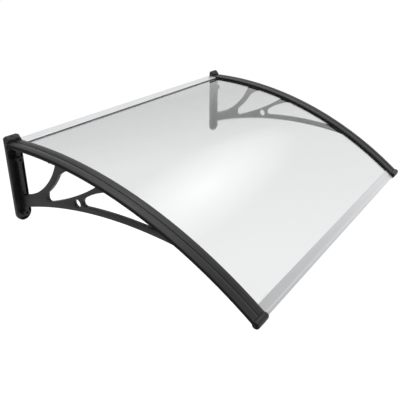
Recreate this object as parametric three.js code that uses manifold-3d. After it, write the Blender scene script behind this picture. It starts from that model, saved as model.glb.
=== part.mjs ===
// Door canopy with a curved polycarbonate sheet between two moulded brackets.
// Millimetres, +Z up. The wall is the plane y = 0 and the roof reaches towards -Y.
// The origin is the middle of the wall rail's back face. Left is -X, seen from the front.
import * as THREE from 'three';
import { mergeVertices } from 'three/addons/utils/BufferGeometryUtils.js';
import Module from 'manifold-3d';

const wasm = await Module();
wasm.setup();

// Driving dimensions
const CANOPY_WIDTH = 1000; // over the outer faces of the two rafters
const RAFTER_WIDTH = 45;
const ROOF_RADIUS = 1150; // top face of the sheet
const ROOF_CROWN_Y = -33; // where the roof arc is level
const ROOF_CROWN_Z = 4;
const BULB_ANGLE = 37.8; // degrees from the crown to the middle of the front bulb
const SHEET_THICKNESS = 3;
const GAP = 0.3; // between pieces that rest on each other

const COVER_SHOULDER = 7; // height of the cover's sides above the sheet
const COVER_CREST = 8.2;
const COVER_LIP = 1; // the outer lip hangs below the sheet's top face
const COVER_LIP_WIDTH = 2.6;
const COVER_GROOVE_WIDTH = 3;
const COVER_GROOVE_DEPTH = 1.5;
const COVER_EDGE_RADIUS = 1.5;
const GASKET_THICKNESS = 1;
const GASKET_WIDTH = 13;
const GASKET_INSET = 1; // from the rafter's inner face

const CHANNEL_INSET = 8; // the cover overhangs the channel by this much
const CHANNEL_DEPTH = 6; // thickness of the channel's floor under the sheet
const SHEET_EDGE_INSET = 17; // from the rafter's outer face to the sheet's edge
const WEB_THICKNESS = 11;
const WEB_INSET = 24; // from the rafter's outer face to the middle of the web

const POST_WIDTH = RAFTER_WIDTH;
const POST_FOOT_Z = -190; // middle of the post's round foot
const POST_DEPTH = 9.5;
const POST_RIM = 3;
const POST_FLOOR = 4;
const POST_HEAD_Z = 5; // the top cap sits on the post at this height
const RIB_DEPTH = 20; // how far the web's rib stands out from the wall
const BOSS_RADIUS = 9;
const BOLT_HOLE_RADIUS = 4;
const UPPER_BOSS_Z = -35.7;
const UPPER_BOSS_DEPTH = 26;
const LOWER_BOSS_Z = -190;
const LOWER_BOSS_DEPTH = 21;

const ARM_RADIUS = 1130; // underside of the lower arm
const ARM_CROWN_Y = -370;
const ARM_CROWN_Z = -117.2;
const ARM_THICKNESS = 15.7;
// The strut next to the wall lies between two arcs: a centre [y, z] and a radius for each
const STRUT_REAR_CENTRE = [21, 58];
const STRUT_REAR_RADIUS = 199;
const STRUT_FRONT_CENTRE = [16.4, 61.8];
const STRUT_FRONT_RADIUS = 215.5;
const WEB_HOLE = [-227, -106];
const WEB_HOLE_RADIUS = 11.5;
// Corners and bends of the web's two front openings, as [y, z]
const SECOND_OPENING = {
  tipY: -306,
  floorBend: [-227, -93.5],
  floorRear: [-130, -127],
  rearBend: [-111, -133],
  strutFootY: -119,
  strutHeadY: -170,
  headBend: [-189, -28],
  roofRearY: -222,
};
const THIRD_OPENING = {
  armRearY: -260,
  rearY: -246.5,
  rearBendDrop: 1.5,
  rearZ: -97.5,
  strutBendZ: -88.5,
  strutFoot: [-262, -80],
  strutBend: [-289, -62],
  strutHead: [-322, -52],
  headBend: [-339, -48],
  roofRearY: -354,
};
const WEB_STEP = 14; // between points of the web's long edges

const CAP_DEPTH = 12.5;
const CAP_OVERHANG = 1; // the cap is this much wider than the post on each side
const CAP_TOP_Z = 29.3;
const CAP_SLOPE = 9; // the cap's front drops by this much
const CAP_LEDGE = 4; // flat part of the cap's top, next to the wall
const CAP_SHOULDER_Z = 24.3; // top of the cap's two ends
const CAP_SHOULDER_WIDTH = 12; // the top falls to the shoulder over this width
const TONGUE_INSET = 6; // the tongue is this much narrower than the post on each side
const TONGUE_DEPTH = 6;
const TONGUE_HEIGHT = 10;

const RAIL_HEIGHT = 20.5;
const RAIL_WALL = 2;
const RAIL_REACH = 26; // the rail's top flange ends this far from the wall
const RAIL_LOWER_REACH = 22;
const RAIL_SOCKET = 8; // each end of the rail's back plate goes this deep into a bracket
const SEAL_HEIGHT = 2;
const SEAL_WIDTH = 5.5;

const PROFILE_FLANGE = 19; // width of the front profile's top band
const PROFILE_WALL = 1.8;
const PROFILE_NOSE_RADIUS = 6.5;
const PROFILE_SOCKET = 14; // each profile end goes this deep into a front cap
const PORT_WALL = 1.2; // wall of the screw port inside the nose
const BULB_RADIUS = 9.5;
const BULB_RISE = 2.5; // middle of the bulb above the sheet's top face
const FRONT_CAP_LENGTH = 26.5; // from the bulb's middle back to the cover's end

const SCREW_SHANK_RADIUS = 1.75;
const SCREW_HEAD_RADIUS = 3.75;
const SCREW_HEAD_HEIGHT = 2.4;
const SCREW_HEAD_FLAT = 2.25; // radius of the head's flat top
const SCREW_HEAD_RIM = 1; // height of the head's round rim
const SCREW_LENGTH = 14;
const SCREW_POINT = 2.5;
const CAP_SCREW_BITE = 10; // the cap screw goes this deep into the profile's port
const COVER_SCREW_COUNT = 4;
const COVER_SCREW_REAR_MARGIN = 140; // along the arc, from the cover's end to its first screw
const COVER_SCREW_FRONT_MARGIN = 70;
const ROOF_STEPS = 36;
const ROUND_STEPS = 20;
const SCREW_STEPS = 12;
const PAST = 5; // cutters pass the faces that they open by this much

// Places that follow from the driving dimensions
const roofCentreZ = ROOF_CROWN_Z - ROOF_RADIUS;
const outerX = CANOPY_WIDTH / 2;
const innerX = outerX - RAFTER_WIDTH;
const webX = outerX - WEB_INSET;
const postX = outerX - POST_WIDTH / 2;
const sheetBottomR = ROOF_RADIUS - SHEET_THICKNESS;
const channelTopR = sheetBottomR - GAP;
const channelBottomR = channelTopR - CHANNEL_DEPTH;
const coverBottom = GASKET_THICKNESS + 2 * GAP;
const bulbR = ROOF_RADIUS + BULB_RISE;
const coverEndAngle = BULB_ANGLE - THREE.MathUtils.radToDeg(FRONT_CAP_LENGTH / ROOF_RADIUS);
const sheetRearY = -POST_DEPTH - GAP;

// Angle in degrees from the crown, towards the front, of a point of the roof arc
function angleAt(y, radius = ROOF_RADIUS) {
  return THREE.MathUtils.radToDeg(Math.asin((ROOF_CROWN_Y - y) / radius));
}

// Point [y, z] at an angle and a radius about the roof's centre line
function roofPoint(degrees, radius) {
  const a = THREE.MathUtils.degToRad(degrees);
  return [ROOF_CROWN_Y - radius * Math.sin(a), roofCentreZ + radius * Math.cos(a)];
}

// Height of the roof arc of a given radius at a distance from the wall
function roofHeight(y, radius) {
  return roofCentreZ + Math.sqrt(radius ** 2 - (y - ROOF_CROWN_Y) ** 2);
}

// Solids from closed geometries, and back
function solid(geometry) {
  const bare = geometry.clone();
  bare.deleteAttribute('normal');
  bare.deleteAttribute('uv');
  const merged = mergeVertices(bare, 1e-4);
  return new wasm.Manifold(new wasm.Mesh({
    numProp: 3,
    vertProperties: Float32Array.from(merged.attributes.position.array),
    triVerts: Uint32Array.from(merged.index.array),
  }));
}

function geometryOf(body) {
  const mesh = body.getMesh();
  const geometry = new THREE.BufferGeometry();
  geometry.setAttribute('position', new THREE.BufferAttribute(mesh.vertProperties, 3));
  geometry.setIndex(new THREE.BufferAttribute(mesh.triVerts, 1));
  geometry.computeVertexNormals();
  return geometry;
}

// Outline in the y-z plane, extruded along x
function alongX(shape, fromX, toX) {
  const geometry = new THREE.ExtrudeGeometry(shape, {
    depth: toX - fromX, bevelEnabled: false, curveSegments: ROUND_STEPS,
  });
  const toYZ = new THREE.Matrix4().makeBasis(
    new THREE.Vector3(0, 1, 0), new THREE.Vector3(0, 0, 1), new THREE.Vector3(1, 0, 0));
  geometry.applyMatrix4(toYZ);
  geometry.translate(fromX, 0, 0);
  return geometry;
}

// Outline in the x-z plane, extruded from the wall side at fromY towards the front
function towardsFront(shape, fromY, depth) {
  const geometry = new THREE.ExtrudeGeometry(shape, {
    depth, bevelEnabled: false, curveSegments: ROUND_STEPS,
  });
  const toXZ = new THREE.Matrix4().makeBasis(
    new THREE.Vector3(1, 0, 0), new THREE.Vector3(0, 0, 1), new THREE.Vector3(0, -1, 0));
  geometry.applyMatrix4(toXZ);
  geometry.translate(0, fromY, 0);
  return geometry;
}

// The roof's arc, from the front back to the wall, so that a section's height points outwards
class RoofArc extends THREE.Curve {
  constructor(x, frontAngle, rearAngle) {
    super();
    this.x = x;
    this.frontAngle = frontAngle;
    this.rearAngle = rearAngle;
  }

  getPoint(t) {
    const angle = THREE.MathUtils.lerp(this.frontAngle, this.rearAngle, t);
    const [y, z] = roofPoint(angle, ROOF_RADIUS);
    return new THREE.Vector3(this.x, y, z);
  }
}

// A section of [x, height over the sheet] points, swept along the roof
function alongRoof(section, rearAngle, frontAngle) {
  const shape = new THREE.Shape(section.map(([x, height]) => new THREE.Vector2(-x, height)));
  const path = new RoofArc(0, frontAngle, rearAngle);
  return new THREE.ExtrudeGeometry(shape, { steps: ROOF_STEPS, extrudePath: path });
}

function rodAlongY(radius, fromY, toY, x, z) {
  const rod = new THREE.CylinderGeometry(radius, radius, fromY - toY, ROUND_STEPS);
  rod.translate(x, (fromY + toY) / 2, z);
  return rod;
}

function rodAlongX(radius, fromX, toX, y, z) {
  const rod = new THREE.CylinderGeometry(radius, radius, toX - fromX, ROUND_STEPS);
  rod.rotateZ(-Math.PI / 2);
  rod.translate((fromX + toX) / 2, y, z);
  return rod;
}

function block(fromX, toX, fromY, toY, fromZ, toZ) {
  const box = new THREE.BoxGeometry(toX - fromX, Math.abs(toY - fromY), toZ - fromZ);
  box.translate((fromX + toX) / 2, (fromY + toY) / 2, (fromZ + toZ) / 2);
  return box;
}

// Part of the ring between two radii of the roof, as an outline in the y-z plane
function roofRing(rearAngle, frontAngle, innerRadius, outerRadius) {
  const points = [];
  for (let i = 0; i <= ROOF_STEPS; i += 1) {
    const angle = THREE.MathUtils.lerp(rearAngle, frontAngle, i / ROOF_STEPS);
    points.push(new THREE.Vector2(...roofPoint(angle, outerRadius)));
  }
  for (let i = ROOF_STEPS; i >= 0; i -= 1) {
    const angle = THREE.MathUtils.lerp(rearAngle, frontAngle, i / ROOF_STEPS);
    points.push(new THREE.Vector2(...roofPoint(angle, innerRadius)));
  }
  return new THREE.Shape(points);
}

// A self-tapping screw that points along +Z, its head's seat at z = 0
function screwGeometry(length = SCREW_LENGTH) {
  const outline = [
    [0, -SCREW_HEAD_HEIGHT],
    [SCREW_HEAD_FLAT, -SCREW_HEAD_HEIGHT],
    [SCREW_HEAD_RADIUS, -SCREW_HEAD_RIM],
    [SCREW_HEAD_RADIUS, 0],
    [SCREW_SHANK_RADIUS, 0],
    [SCREW_SHANK_RADIUS, length - SCREW_POINT],
    [0, length],
  ].map(([r, h]) => new THREE.Vector2(r, h));
  const screw = new THREE.LatheGeometry(outline, SCREW_STEPS);
  screw.rotateX(Math.PI / 2);
  return screw;
}

// Materials
const satinPlastic = { color: 0x1d1d1e, roughness: 0.42, metalness: 0 };
const clearSheet = { color: 0xe8eef0, roughness: 0.08, metalness: 0, transparent: true, opacity: 0.3 };
const anodised = { color: 0xc4c6c9, roughness: 0.35, metalness: 1 };
const rubber = { color: 0x2a2a2b, roughness: 0.8, metalness: 0 };
const blackSteel = { color: 0x151516, roughness: 0.4, metalness: 1 };

const canopy = new THREE.Group();

function addPiece(parent, name, geometry, finish) {
  const mesh = new THREE.Mesh(geometry, new THREE.MeshStandardMaterial(finish));
  mesh.name = name;
  parent.add(mesh);
  return mesh;
}

// Web of the bracket: the lower arm, the two curved struts and the round hole.
// It is cut as a plate, and the rafter's channel and the post's rib close its edges.
const armCentreZ = ARM_CROWN_Z - ARM_RADIUS;

// Height of an arc about the arm's centre line
function armHeight(y, radius) {
  return armCentreZ + Math.sqrt(radius ** 2 - (y - ARM_CROWN_Y) ** 2);
}

// Distance from the wall where the arm's arc runs into the roof's arc
function armEndY(armRadius, roofRadius) {
  let y = ARM_CROWN_Y;
  while (roofHeight(y, roofRadius) > armHeight(y, armRadius)) {
    y -= 1;
  }
  return y;
}

function rearOpeningShape() {
  const circle = new THREE.Shape();
  circle.absarc(...STRUT_REAR_CENTRE, STRUT_REAR_RADIUS, 0, 2 * Math.PI);
  return circle;
}

function secondOpeningShape(edgeRadius) {
  const o = SECOND_OPENING;
  const [cy, cz] = STRUT_FRONT_CENTRE;
  const onStrut = (y) => [y, cz - Math.sqrt(STRUT_FRONT_RADIUS ** 2 - (y - cy) ** 2)];
  const onRoof = (y) => [y, roofHeight(y, edgeRadius)];
  const strutAngle = ([y, z]) => Math.atan2(z - cz, y - cy);
  const shape = new THREE.Shape();
  shape.moveTo(...onRoof(o.tipY));
  shape.quadraticCurveTo(...o.floorBend, ...o.floorRear);
  shape.quadraticCurveTo(...o.rearBend, ...onStrut(o.strutFootY));
  shape.absarc(cy, cz, STRUT_FRONT_RADIUS, strutAngle(onStrut(o.strutFootY)),
    strutAngle(onStrut(o.strutHeadY)), true);
  shape.quadraticCurveTo(...o.headBend, ...onRoof(o.roofRearY));
  for (let y = o.roofRearY - WEB_STEP; y > o.tipY; y -= WEB_STEP) {
    shape.lineTo(...onRoof(y));
  }
  return shape;
}

function thirdOpeningShape(edgeRadius) {
  const o = THIRD_OPENING;
  const armTop = ARM_RADIUS + ARM_THICKNESS;
  const onArm = (y) => [y, armHeight(y, armTop)];
  const onRoof = (y) => [y, roofHeight(y, edgeRadius)];
  const armAngle = ([y, z]) => Math.atan2(z - armCentreZ, y - ARM_CROWN_Y);
  const tipY = armEndY(armTop, edgeRadius);
  const armRear = onArm(o.armRearY);
  const shape = new THREE.Shape();
  shape.moveTo(...onArm(tipY));
  shape.absarc(ARM_CROWN_Y, armCentreZ, armTop, armAngle(onArm(tipY)), armAngle(armRear), true);
  shape.quadraticCurveTo(o.rearY, armRear[1] - o.rearBendDrop, o.rearY, o.rearZ);
  shape.quadraticCurveTo(o.rearY, o.strutBendZ, ...o.strutFoot);
  shape.quadraticCurveTo(...o.strutBend, ...o.strutHead);
  shape.quadraticCurveTo(...o.headBend, ...onRoof(o.roofRearY));
  for (let y = o.roofRearY - WEB_STEP; y > tipY; y -= WEB_STEP) {
    shape.lineTo(...onRoof(y));
  }
  return shape;
}

// Outline of the web before it is opened: under the rafter, over the arm's underside
function webOutline(edgeRadius) {
  const rearY = -POST_FLOOR / 2;
  const endY = armEndY(ARM_RADIUS, edgeRadius);
  const steps = Math.ceil((rearY - endY) / WEB_STEP);
  const below = [];
  const above = [];
  for (let i = 0; i <= steps; i += 1) {
    const y = THREE.MathUtils.lerp(rearY, endY, i / steps);
    below.push(new THREE.Vector2(y, armHeight(y, ARM_RADIUS)));
    above.unshift(new THREE.Vector2(y, roofHeight(y, edgeRadius)));
  }
  return new THREE.Shape([...below.slice(0, -1), ...above]);
}

function webBody() {
  const fromX = webX - WEB_THICKNESS / 2;
  const toX = webX + WEB_THICKNESS / 2;
  const edgeRadius = channelBottomR + CHANNEL_DEPTH / 2;
  const cut = (shape) => solid(alongX(shape, fromX - PAST, toX + PAST));
  let web = solid(alongX(webOutline(edgeRadius), fromX, toX));
  web = web.subtract(cut(rearOpeningShape()));
  web = web.subtract(cut(secondOpeningShape(edgeRadius)));
  web = web.subtract(cut(thirdOpeningShape(edgeRadius)));
  return web.subtract(solid(rodAlongX(WEB_HOLE_RADIUS, fromX - PAST, toX + PAST, ...WEB_HOLE)));
}

// Post: a tray with a round foot, its middle rib and two bosses for the wall bolts
function postOutline(inset, headZ) {
  const half = POST_WIDTH / 2 - inset;
  const shape = new THREE.Shape();
  shape.moveTo(postX + half, headZ);
  shape.lineTo(postX - half, headZ);
  shape.lineTo(postX - half, POST_FOOT_Z);
  shape.absarc(postX, POST_FOOT_Z, half, Math.PI, 2 * Math.PI, false);
  return shape;
}

// Tongue of the post's head, and with a clearance the pocket for it in the cap
const tongueHalf = POST_WIDTH / 2 - TONGUE_INSET;

function tongue(fromZ, clearance) {
  return block(postX - tongueHalf - clearance, postX + tongueHalf + clearance,
    -(POST_DEPTH - TONGUE_DEPTH) / 2 + clearance, -(POST_DEPTH + TONGUE_DEPTH) / 2 - clearance,
    fromZ, POST_HEAD_Z + TONGUE_HEIGHT + clearance);
}

function postBody() {
  const trayTop = roofHeight(-POST_DEPTH, channelBottomR) - POST_RIM;
  let post = solid(towardsFront(postOutline(0, POST_HEAD_Z), 0, POST_DEPTH));
  const pocket = towardsFront(postOutline(POST_RIM, trayTop), -POST_FLOOR, POST_DEPTH);
  post = post.subtract(solid(pocket));
  post = post.add(solid(block(webX - WEB_THICKNESS / 2, webX + WEB_THICKNESS / 2,
    -POST_FLOOR / 2, -RIB_DEPTH, LOWER_BOSS_Z, trayTop + POST_RIM)));
  const bosses = [[UPPER_BOSS_Z, UPPER_BOSS_DEPTH], [LOWER_BOSS_Z, LOWER_BOSS_DEPTH]];
  for (const [z, depth] of bosses) {
    post = post.add(solid(rodAlongY(BOSS_RADIUS, -POST_FLOOR / 2, -depth, postX, z)));
  }
  for (const [z, depth] of bosses) {
    post = post.subtract(solid(rodAlongY(BOLT_HOLE_RADIUS, PAST, -depth - PAST, postX, z)));
  }
  return post.add(solid(tongue(POST_HEAD_Z - POST_RIM, 0)));
}

// Rafter's channel: a floor under the sheet's edge and a ledge outside it
function channelBody() {
  const rear = angleAt(-POST_DEPTH / 2);
  const front = coverEndAngle - THREE.MathUtils.radToDeg(GAP / ROOF_RADIUS);
  const fromX = innerX + CHANNEL_INSET;
  const toX = outerX - CHANNEL_INSET;
  const ledgeTopR = ROOF_RADIUS + coverBottom - GAP;
  const floor = alongX(roofRing(rear, front, channelBottomR, channelTopR), fromX, toX);
  const ledge = alongX(roofRing(rear, front, channelBottomR, ledgeTopR),
    outerX - SHEET_EDGE_INSET + GAP, toX);
  return solid(floor).add(solid(ledge));
}

// Ends of the cover strip
const coverRearAngle = angleAt(-CAP_DEPTH - GAP);
const coverFrontAngle = coverEndAngle - THREE.MathUtils.radToDeg(GAP / ROOF_RADIUS);

// The cover's screws are evenly spaced along it
function coverScrewAngles() {
  const first = coverRearAngle + THREE.MathUtils.radToDeg(COVER_SCREW_REAR_MARGIN / ROOF_RADIUS);
  const last = coverFrontAngle - THREE.MathUtils.radToDeg(COVER_SCREW_FRONT_MARGIN / ROOF_RADIUS);
  return Array.from({ length: COVER_SCREW_COUNT }, (_, i) => (
    THREE.MathUtils.lerp(first, last, i / (COVER_SCREW_COUNT - 1))));
}

// Each screw of a rafter goes through the ledge halfway between its two sides
const screwX = outerX - (CHANNEL_INSET + SHEET_EDGE_INSET) / 2;

function coverScrewMatrix(angle) {
  const [y, z] = roofPoint(angle, channelBottomR - GAP);
  return new THREE.Matrix4().makeTranslation(screwX, y, z)
    .multiply(new THREE.Matrix4().makeRotationX(THREE.MathUtils.degToRad(angle)));
}

function screwHole(length) {
  const hole = new THREE.CylinderGeometry(SCREW_SHANK_RADIUS + GAP, SCREW_SHANK_RADIUS + GAP,
    length, SCREW_STEPS);
  hole.rotateX(Math.PI / 2);
  hole.translate(0, 0, length / 2);
  return hole;
}

function coverScrewHoles() {
  return coverScrewAngles().map((angle) => {
    const hole = screwHole(PAST + SCREW_LENGTH + GAP);
    hole.translate(0, 0, -PAST);
    hole.applyMatrix4(coverScrewMatrix(angle));
    return solid(hole);
  });
}

// Section of the wall rail in the y-z plane: back plate and two flanges round the sheet
const railTopZ = RAIL_HEIGHT / 2;
const flangeFrontZ = roofHeight(-RAIL_REACH, ROOF_RADIUS) + SEAL_HEIGHT + 2 * GAP;

function railShape() {
  const lowerTopZ = roofHeight(-RAIL_LOWER_REACH, channelTopR);
  const shape = new THREE.Shape();
  shape.moveTo(0, -railTopZ);
  shape.lineTo(0, railTopZ);
  shape.lineTo(-RAIL_WALL, railTopZ);
  shape.lineTo(-RAIL_REACH, flangeFrontZ + RAIL_WALL);
  shape.lineTo(-RAIL_REACH, flangeFrontZ);
  shape.lineTo(-RAIL_WALL, flangeFrontZ);
  shape.lineTo(-RAIL_WALL, lowerTopZ);
  shape.lineTo(-RAIL_LOWER_REACH, lowerTopZ);
  shape.lineTo(-RAIL_LOWER_REACH, lowerTopZ - RAIL_WALL);
  shape.lineTo(-RAIL_WALL, lowerTopZ - RAIL_WALL);
  shape.lineTo(-RAIL_WALL, -railTopZ);
  shape.closePath();
  return shape;
}

// Middle of the front profile's nose, as [y, z]
const nosePoint = roofPoint(BULB_ANGLE, ROOF_RADIUS - SHEET_THICKNESS / 2 - PROFILE_WALL);

// Section of the front profile: two flanges that grip the sheet, and a round hollow nose
function profileBody(fromX, toX, clearance) {
  const degreesPer = THREE.MathUtils.radToDeg(1 / ROOF_RADIUS);
  const bandRear = BULB_ANGLE - (PROFILE_FLANGE + PROFILE_NOSE_RADIUS) * degreesPer;
  const outerBandR = ROOF_RADIUS + GAP + PROFILE_WALL + clearance;
  const innerBandR = sheetBottomR - GAP - PROFILE_WALL - clearance;
  const bandStart = bandRear - clearance * degreesPer;
  const nose = rodAlongX(PROFILE_NOSE_RADIUS + clearance, fromX, toX, ...nosePoint);
  const band = alongX(roofRing(bandStart, BULB_ANGLE, innerBandR, outerBandR), fromX, toX);
  return solid(band).add(solid(nose));
}

// The profile's slot for the sheet ends just behind the hollow nose
const noseWallAngle = THREE.MathUtils.radToDeg((PROFILE_NOSE_RADIUS + PROFILE_WALL) / ROOF_RADIUS);
const gapAngle = THREE.MathUtils.radToDeg(GAP / ROOF_RADIUS);
const profileSlotEnd = BULB_ANGLE - noseWallAngle;
const sheetFrontAngle = profileSlotEnd - 2 * gapAngle;
const profileEnd = innerX + PROFILE_SOCKET;

// The nose is hollow, and a port for the cap screws runs along its middle on a short rib
function noseHollow(end) {
  const [y, z] = nosePoint;
  const portRadius = SCREW_SHANK_RADIUS + GAP;
  const hollowRadius = PROFILE_NOSE_RADIUS - PROFILE_WALL;
  const port = rodAlongX(portRadius + PORT_WALL, -end, end, y, z);
  const rib = block(-end, end, y, y - PROFILE_NOSE_RADIUS, z - PORT_WALL / 2, z + PORT_WALL / 2);
  const hollow = solid(rodAlongX(hollowRadius, -end, end, y, z));
  const portHole = solid(rodAlongX(portRadius, -end, end, y, z));
  return hollow.subtract(solid(port).add(solid(rib))).add(portHole);
}

function frontProfile() {
  const end = profileEnd + PAST;
  const slotStart = BULB_ANGLE - 2 * THREE.MathUtils.radToDeg(PROFILE_FLANGE / ROOF_RADIUS);
  const slot = alongX(roofRing(slotStart, profileSlotEnd, sheetBottomR - GAP, ROOF_RADIUS + GAP),
    -end, end);
  return profileBody(-profileEnd, profileEnd, 0).subtract(solid(slot)).subtract(noseHollow(end));
}

// Front cap: the rafter's rounded end, with a socket for the front profile
function frontCapBody() {
  const topR = ROOF_RADIUS + COVER_CREST;
  const neck = alongX(roofRing(coverEndAngle, BULB_ANGLE, channelBottomR, topR), innerX, outerX);
  const bulb = rodAlongX(BULB_RADIUS, innerX, outerX, ...roofPoint(BULB_ANGLE, bulbR));
  let cap = solid(neck).add(solid(bulb));
  cap = cap.subtract(profileBody(innerX - PAST, profileEnd + GAP, GAP));
  // the sheet and its gasket run into the cap between the cover and the channel
  const slot = roofRing(coverEndAngle - 1, sheetFrontAngle + gapAngle,
    channelTopR, ROOF_RADIUS + coverBottom);
  cap = cap.subtract(solid(alongX(slot, innerX - PAST, outerX - SHEET_EDGE_INSET + GAP)));
  const shaft = rodAlongX(SCREW_SHANK_RADIUS + GAP, innerX, outerX + PAST, ...nosePoint);
  const sink = rodAlongX(SCREW_HEAD_RADIUS + GAP, outerX - SCREW_HEAD_HEIGHT - GAP, outerX + PAST,
    ...nosePoint);
  return cap.subtract(solid(shaft)).subtract(solid(sink));
}

// Cover strip: two low lobes with a groove between them, and a lip outside
function coverSection() {
  const middle = (outerX + innerX) / 2;
  const lobe = RAFTER_WIDTH / 4;
  const half = COVER_GROOVE_WIDTH / 2;
  return [
    [outerX, -COVER_LIP],
    [outerX, COVER_SHOULDER - COVER_EDGE_RADIUS],
    [outerX - COVER_EDGE_RADIUS, COVER_SHOULDER],
    [outerX - lobe, COVER_CREST],
    [middle + half, COVER_SHOULDER],
    [middle, COVER_SHOULDER - COVER_GROOVE_DEPTH],
    [middle - half, COVER_SHOULDER],
    [innerX + lobe, COVER_CREST],
    [innerX + COVER_EDGE_RADIUS, COVER_SHOULDER],
    [innerX, COVER_SHOULDER - COVER_EDGE_RADIUS],
    [innerX, coverBottom],
    [outerX - COVER_LIP_WIDTH, coverBottom],
    [outerX - COVER_LIP_WIDTH, -COVER_LIP],
  ];
}

// Top cap: a low hood with a sloping front and lower ends, over the post's tongue
function postCapBody() {
  const half = POST_WIDTH / 2 + CAP_OVERHANG;
  const outline = new THREE.Shape();
  outline.moveTo(0, POST_HEAD_Z + GAP);
  outline.lineTo(0, CAP_TOP_Z);
  outline.lineTo(-CAP_LEDGE, CAP_TOP_Z);
  outline.lineTo(-CAP_DEPTH, CAP_TOP_Z - CAP_SLOPE);
  outline.lineTo(-CAP_DEPTH, POST_HEAD_Z + GAP);
  outline.closePath();
  let cap = solid(alongX(outline, postX - half, postX + half));
  for (const side of [-1, 1]) {
    const above = new THREE.Shape();
    above.moveTo(postX + side * (half + PAST), CAP_SHOULDER_Z);
    above.lineTo(postX + side * half, CAP_SHOULDER_Z);
    above.lineTo(postX + side * (half - CAP_SHOULDER_WIDTH), CAP_TOP_Z);
    above.lineTo(postX + side * (half - CAP_SHOULDER_WIDTH), CAP_TOP_Z + PAST);
    above.lineTo(postX + side * (half + PAST), CAP_TOP_Z + PAST);
    above.closePath();
    cap = cap.subtract(solid(towardsFront(above, PAST, CAP_DEPTH + 2 * PAST)));
  }
  return cap.subtract(solid(tongue(POST_HEAD_Z - PAST, GAP))).subtract(solid(railSocket()));
}

// Recess in a bracket's wall face for the end of the wall rail's back plate
function railSocket() {
  return block(innerX - PAST, innerX + RAIL_SOCKET + GAP,
    PAST, -RAIL_WALL - GAP, -railTopZ - GAP, railTopZ + GAP);
}

// The rail's flanges stop between the brackets, and its back plate goes on into the recesses
function wallRailBody() {
  const end = innerX + RAIL_SOCKET;
  let rail = solid(alongX(railShape(), -end, end));
  for (const side of [-1, 1]) {
    const nearX = side * (innerX - CAP_OVERHANG - GAP);
    const farX = side * (end + PAST);
    const flangeEnd = block(Math.min(nearX, farX), Math.max(nearX, farX),
      -RAIL_WALL, -RAIL_REACH - PAST, -railTopZ - PAST, railTopZ + PAST);
    rail = rail.subtract(solid(flangeEnd));
  }
  return rail;
}

// Pieces of the right side are built in place, and the left side mirrors them
const rightSide = new THREE.Group();
const leftSide = new THREE.Group();
leftSide.scale.x = -1;
canopy.add(rightSide, leftSide);

function addPair(name, geometry, finish) {
  addPiece(rightSide, `right_${name}`, geometry, finish);
  addPiece(leftSide, `left_${name}`, geometry, finish);
}

let bracket = postBody().add(webBody()).add(channelBody());
bracket = bracket.subtract(solid(railSocket()));
let cover = solid(alongRoof(coverSection(), coverRearAngle, coverFrontAngle));
for (const hole of coverScrewHoles()) {
  bracket = bracket.subtract(hole);
  cover = cover.subtract(hole);
}
addPair('bracket', geometryOf(bracket), satinPlastic);
addPair('cover_strip', geometryOf(cover), satinPlastic);
addPair('post_cap', geometryOf(postCapBody()), satinPlastic);
addPair('front_cap', geometryOf(frontCapBody()), satinPlastic);

const gasketInner = innerX + GASKET_INSET;
addPair('edge_gasket', alongRoof([
  [gasketInner + GASKET_WIDTH, GAP],
  [gasketInner + GASKET_WIDTH, GAP + GASKET_THICKNESS],
  [gasketInner, GAP + GASKET_THICKNESS],
  [gasketInner, GAP],
], angleAt(-RAIL_REACH - SEAL_WIDTH), coverFrontAngle), rubber);

coverScrewAngles().forEach((angle, i) => {
  const screw = screwGeometry();
  screw.applyMatrix4(coverScrewMatrix(angle));
  addPair(`cover_screw_${i + 1}`, screw, blackSteel);
});

const capScrewSeatX = outerX - SCREW_HEAD_HEIGHT;
const capScrew = screwGeometry(capScrewSeatX - profileEnd + CAP_SCREW_BITE);
capScrew.rotateY(-Math.PI / 2);
capScrew.translate(capScrewSeatX, ...nosePoint);
addPair('cap_screw', capScrew, blackSteel);

// Sheet, held by the rail at the wall and by the profile at the front
const sheetHalf = outerX - SHEET_EDGE_INSET;
addPiece(canopy, 'roof_sheet', alongRoof([
  [sheetHalf, -SHEET_THICKNESS],
  [sheetHalf, 0],
  [-sheetHalf, 0],
  [-sheetHalf, -SHEET_THICKNESS],
], angleAt(sheetRearY), sheetFrontAngle), clearSheet);

addPiece(canopy, 'wall_rail', geometryOf(wallRailBody()), anodised);
addPiece(canopy, 'front_profile', geometryOf(frontProfile()), anodised);

const sealFront = -RAIL_REACH - SEAL_WIDTH / 2;
const sealRear = -RAIL_REACH + SEAL_WIDTH / 2;
const sealBottomZ = Math.max(roofHeight(sealFront, ROOF_RADIUS), roofHeight(sealRear, ROOF_RADIUS)) + GAP;
const sealShape = new THREE.Shape();
sealShape.moveTo(sealRear, sealBottomZ);
sealShape.lineTo(sealRear, flangeFrontZ - GAP);
sealShape.lineTo(-RAIL_REACH - GAP, flangeFrontZ - GAP);
sealShape.lineTo(sealFront, sealBottomZ + SEAL_HEIGHT / 4);
sealShape.lineTo(sealFront, sealBottomZ);
sealShape.closePath();
addPiece(canopy, 'rail_seal', alongX(sealShape, -innerX + GAP, innerX - GAP), rubber);

export default canopy;
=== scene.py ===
# %% [markdown]
# # A door canopy: bent clear sheet, moulded brackets, aluminium edges
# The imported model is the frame: it says where every piece lies, in metres, with the wall at y = 0,
# the front towards -Y and +Z up. This lesson makes the pieces that are looked at, on those places.
# The script starts by loading that frame, because all sizes below are read from it or tied to it.

import math

import bmesh
import bpy
from mathutils import Matrix, Vector


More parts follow.
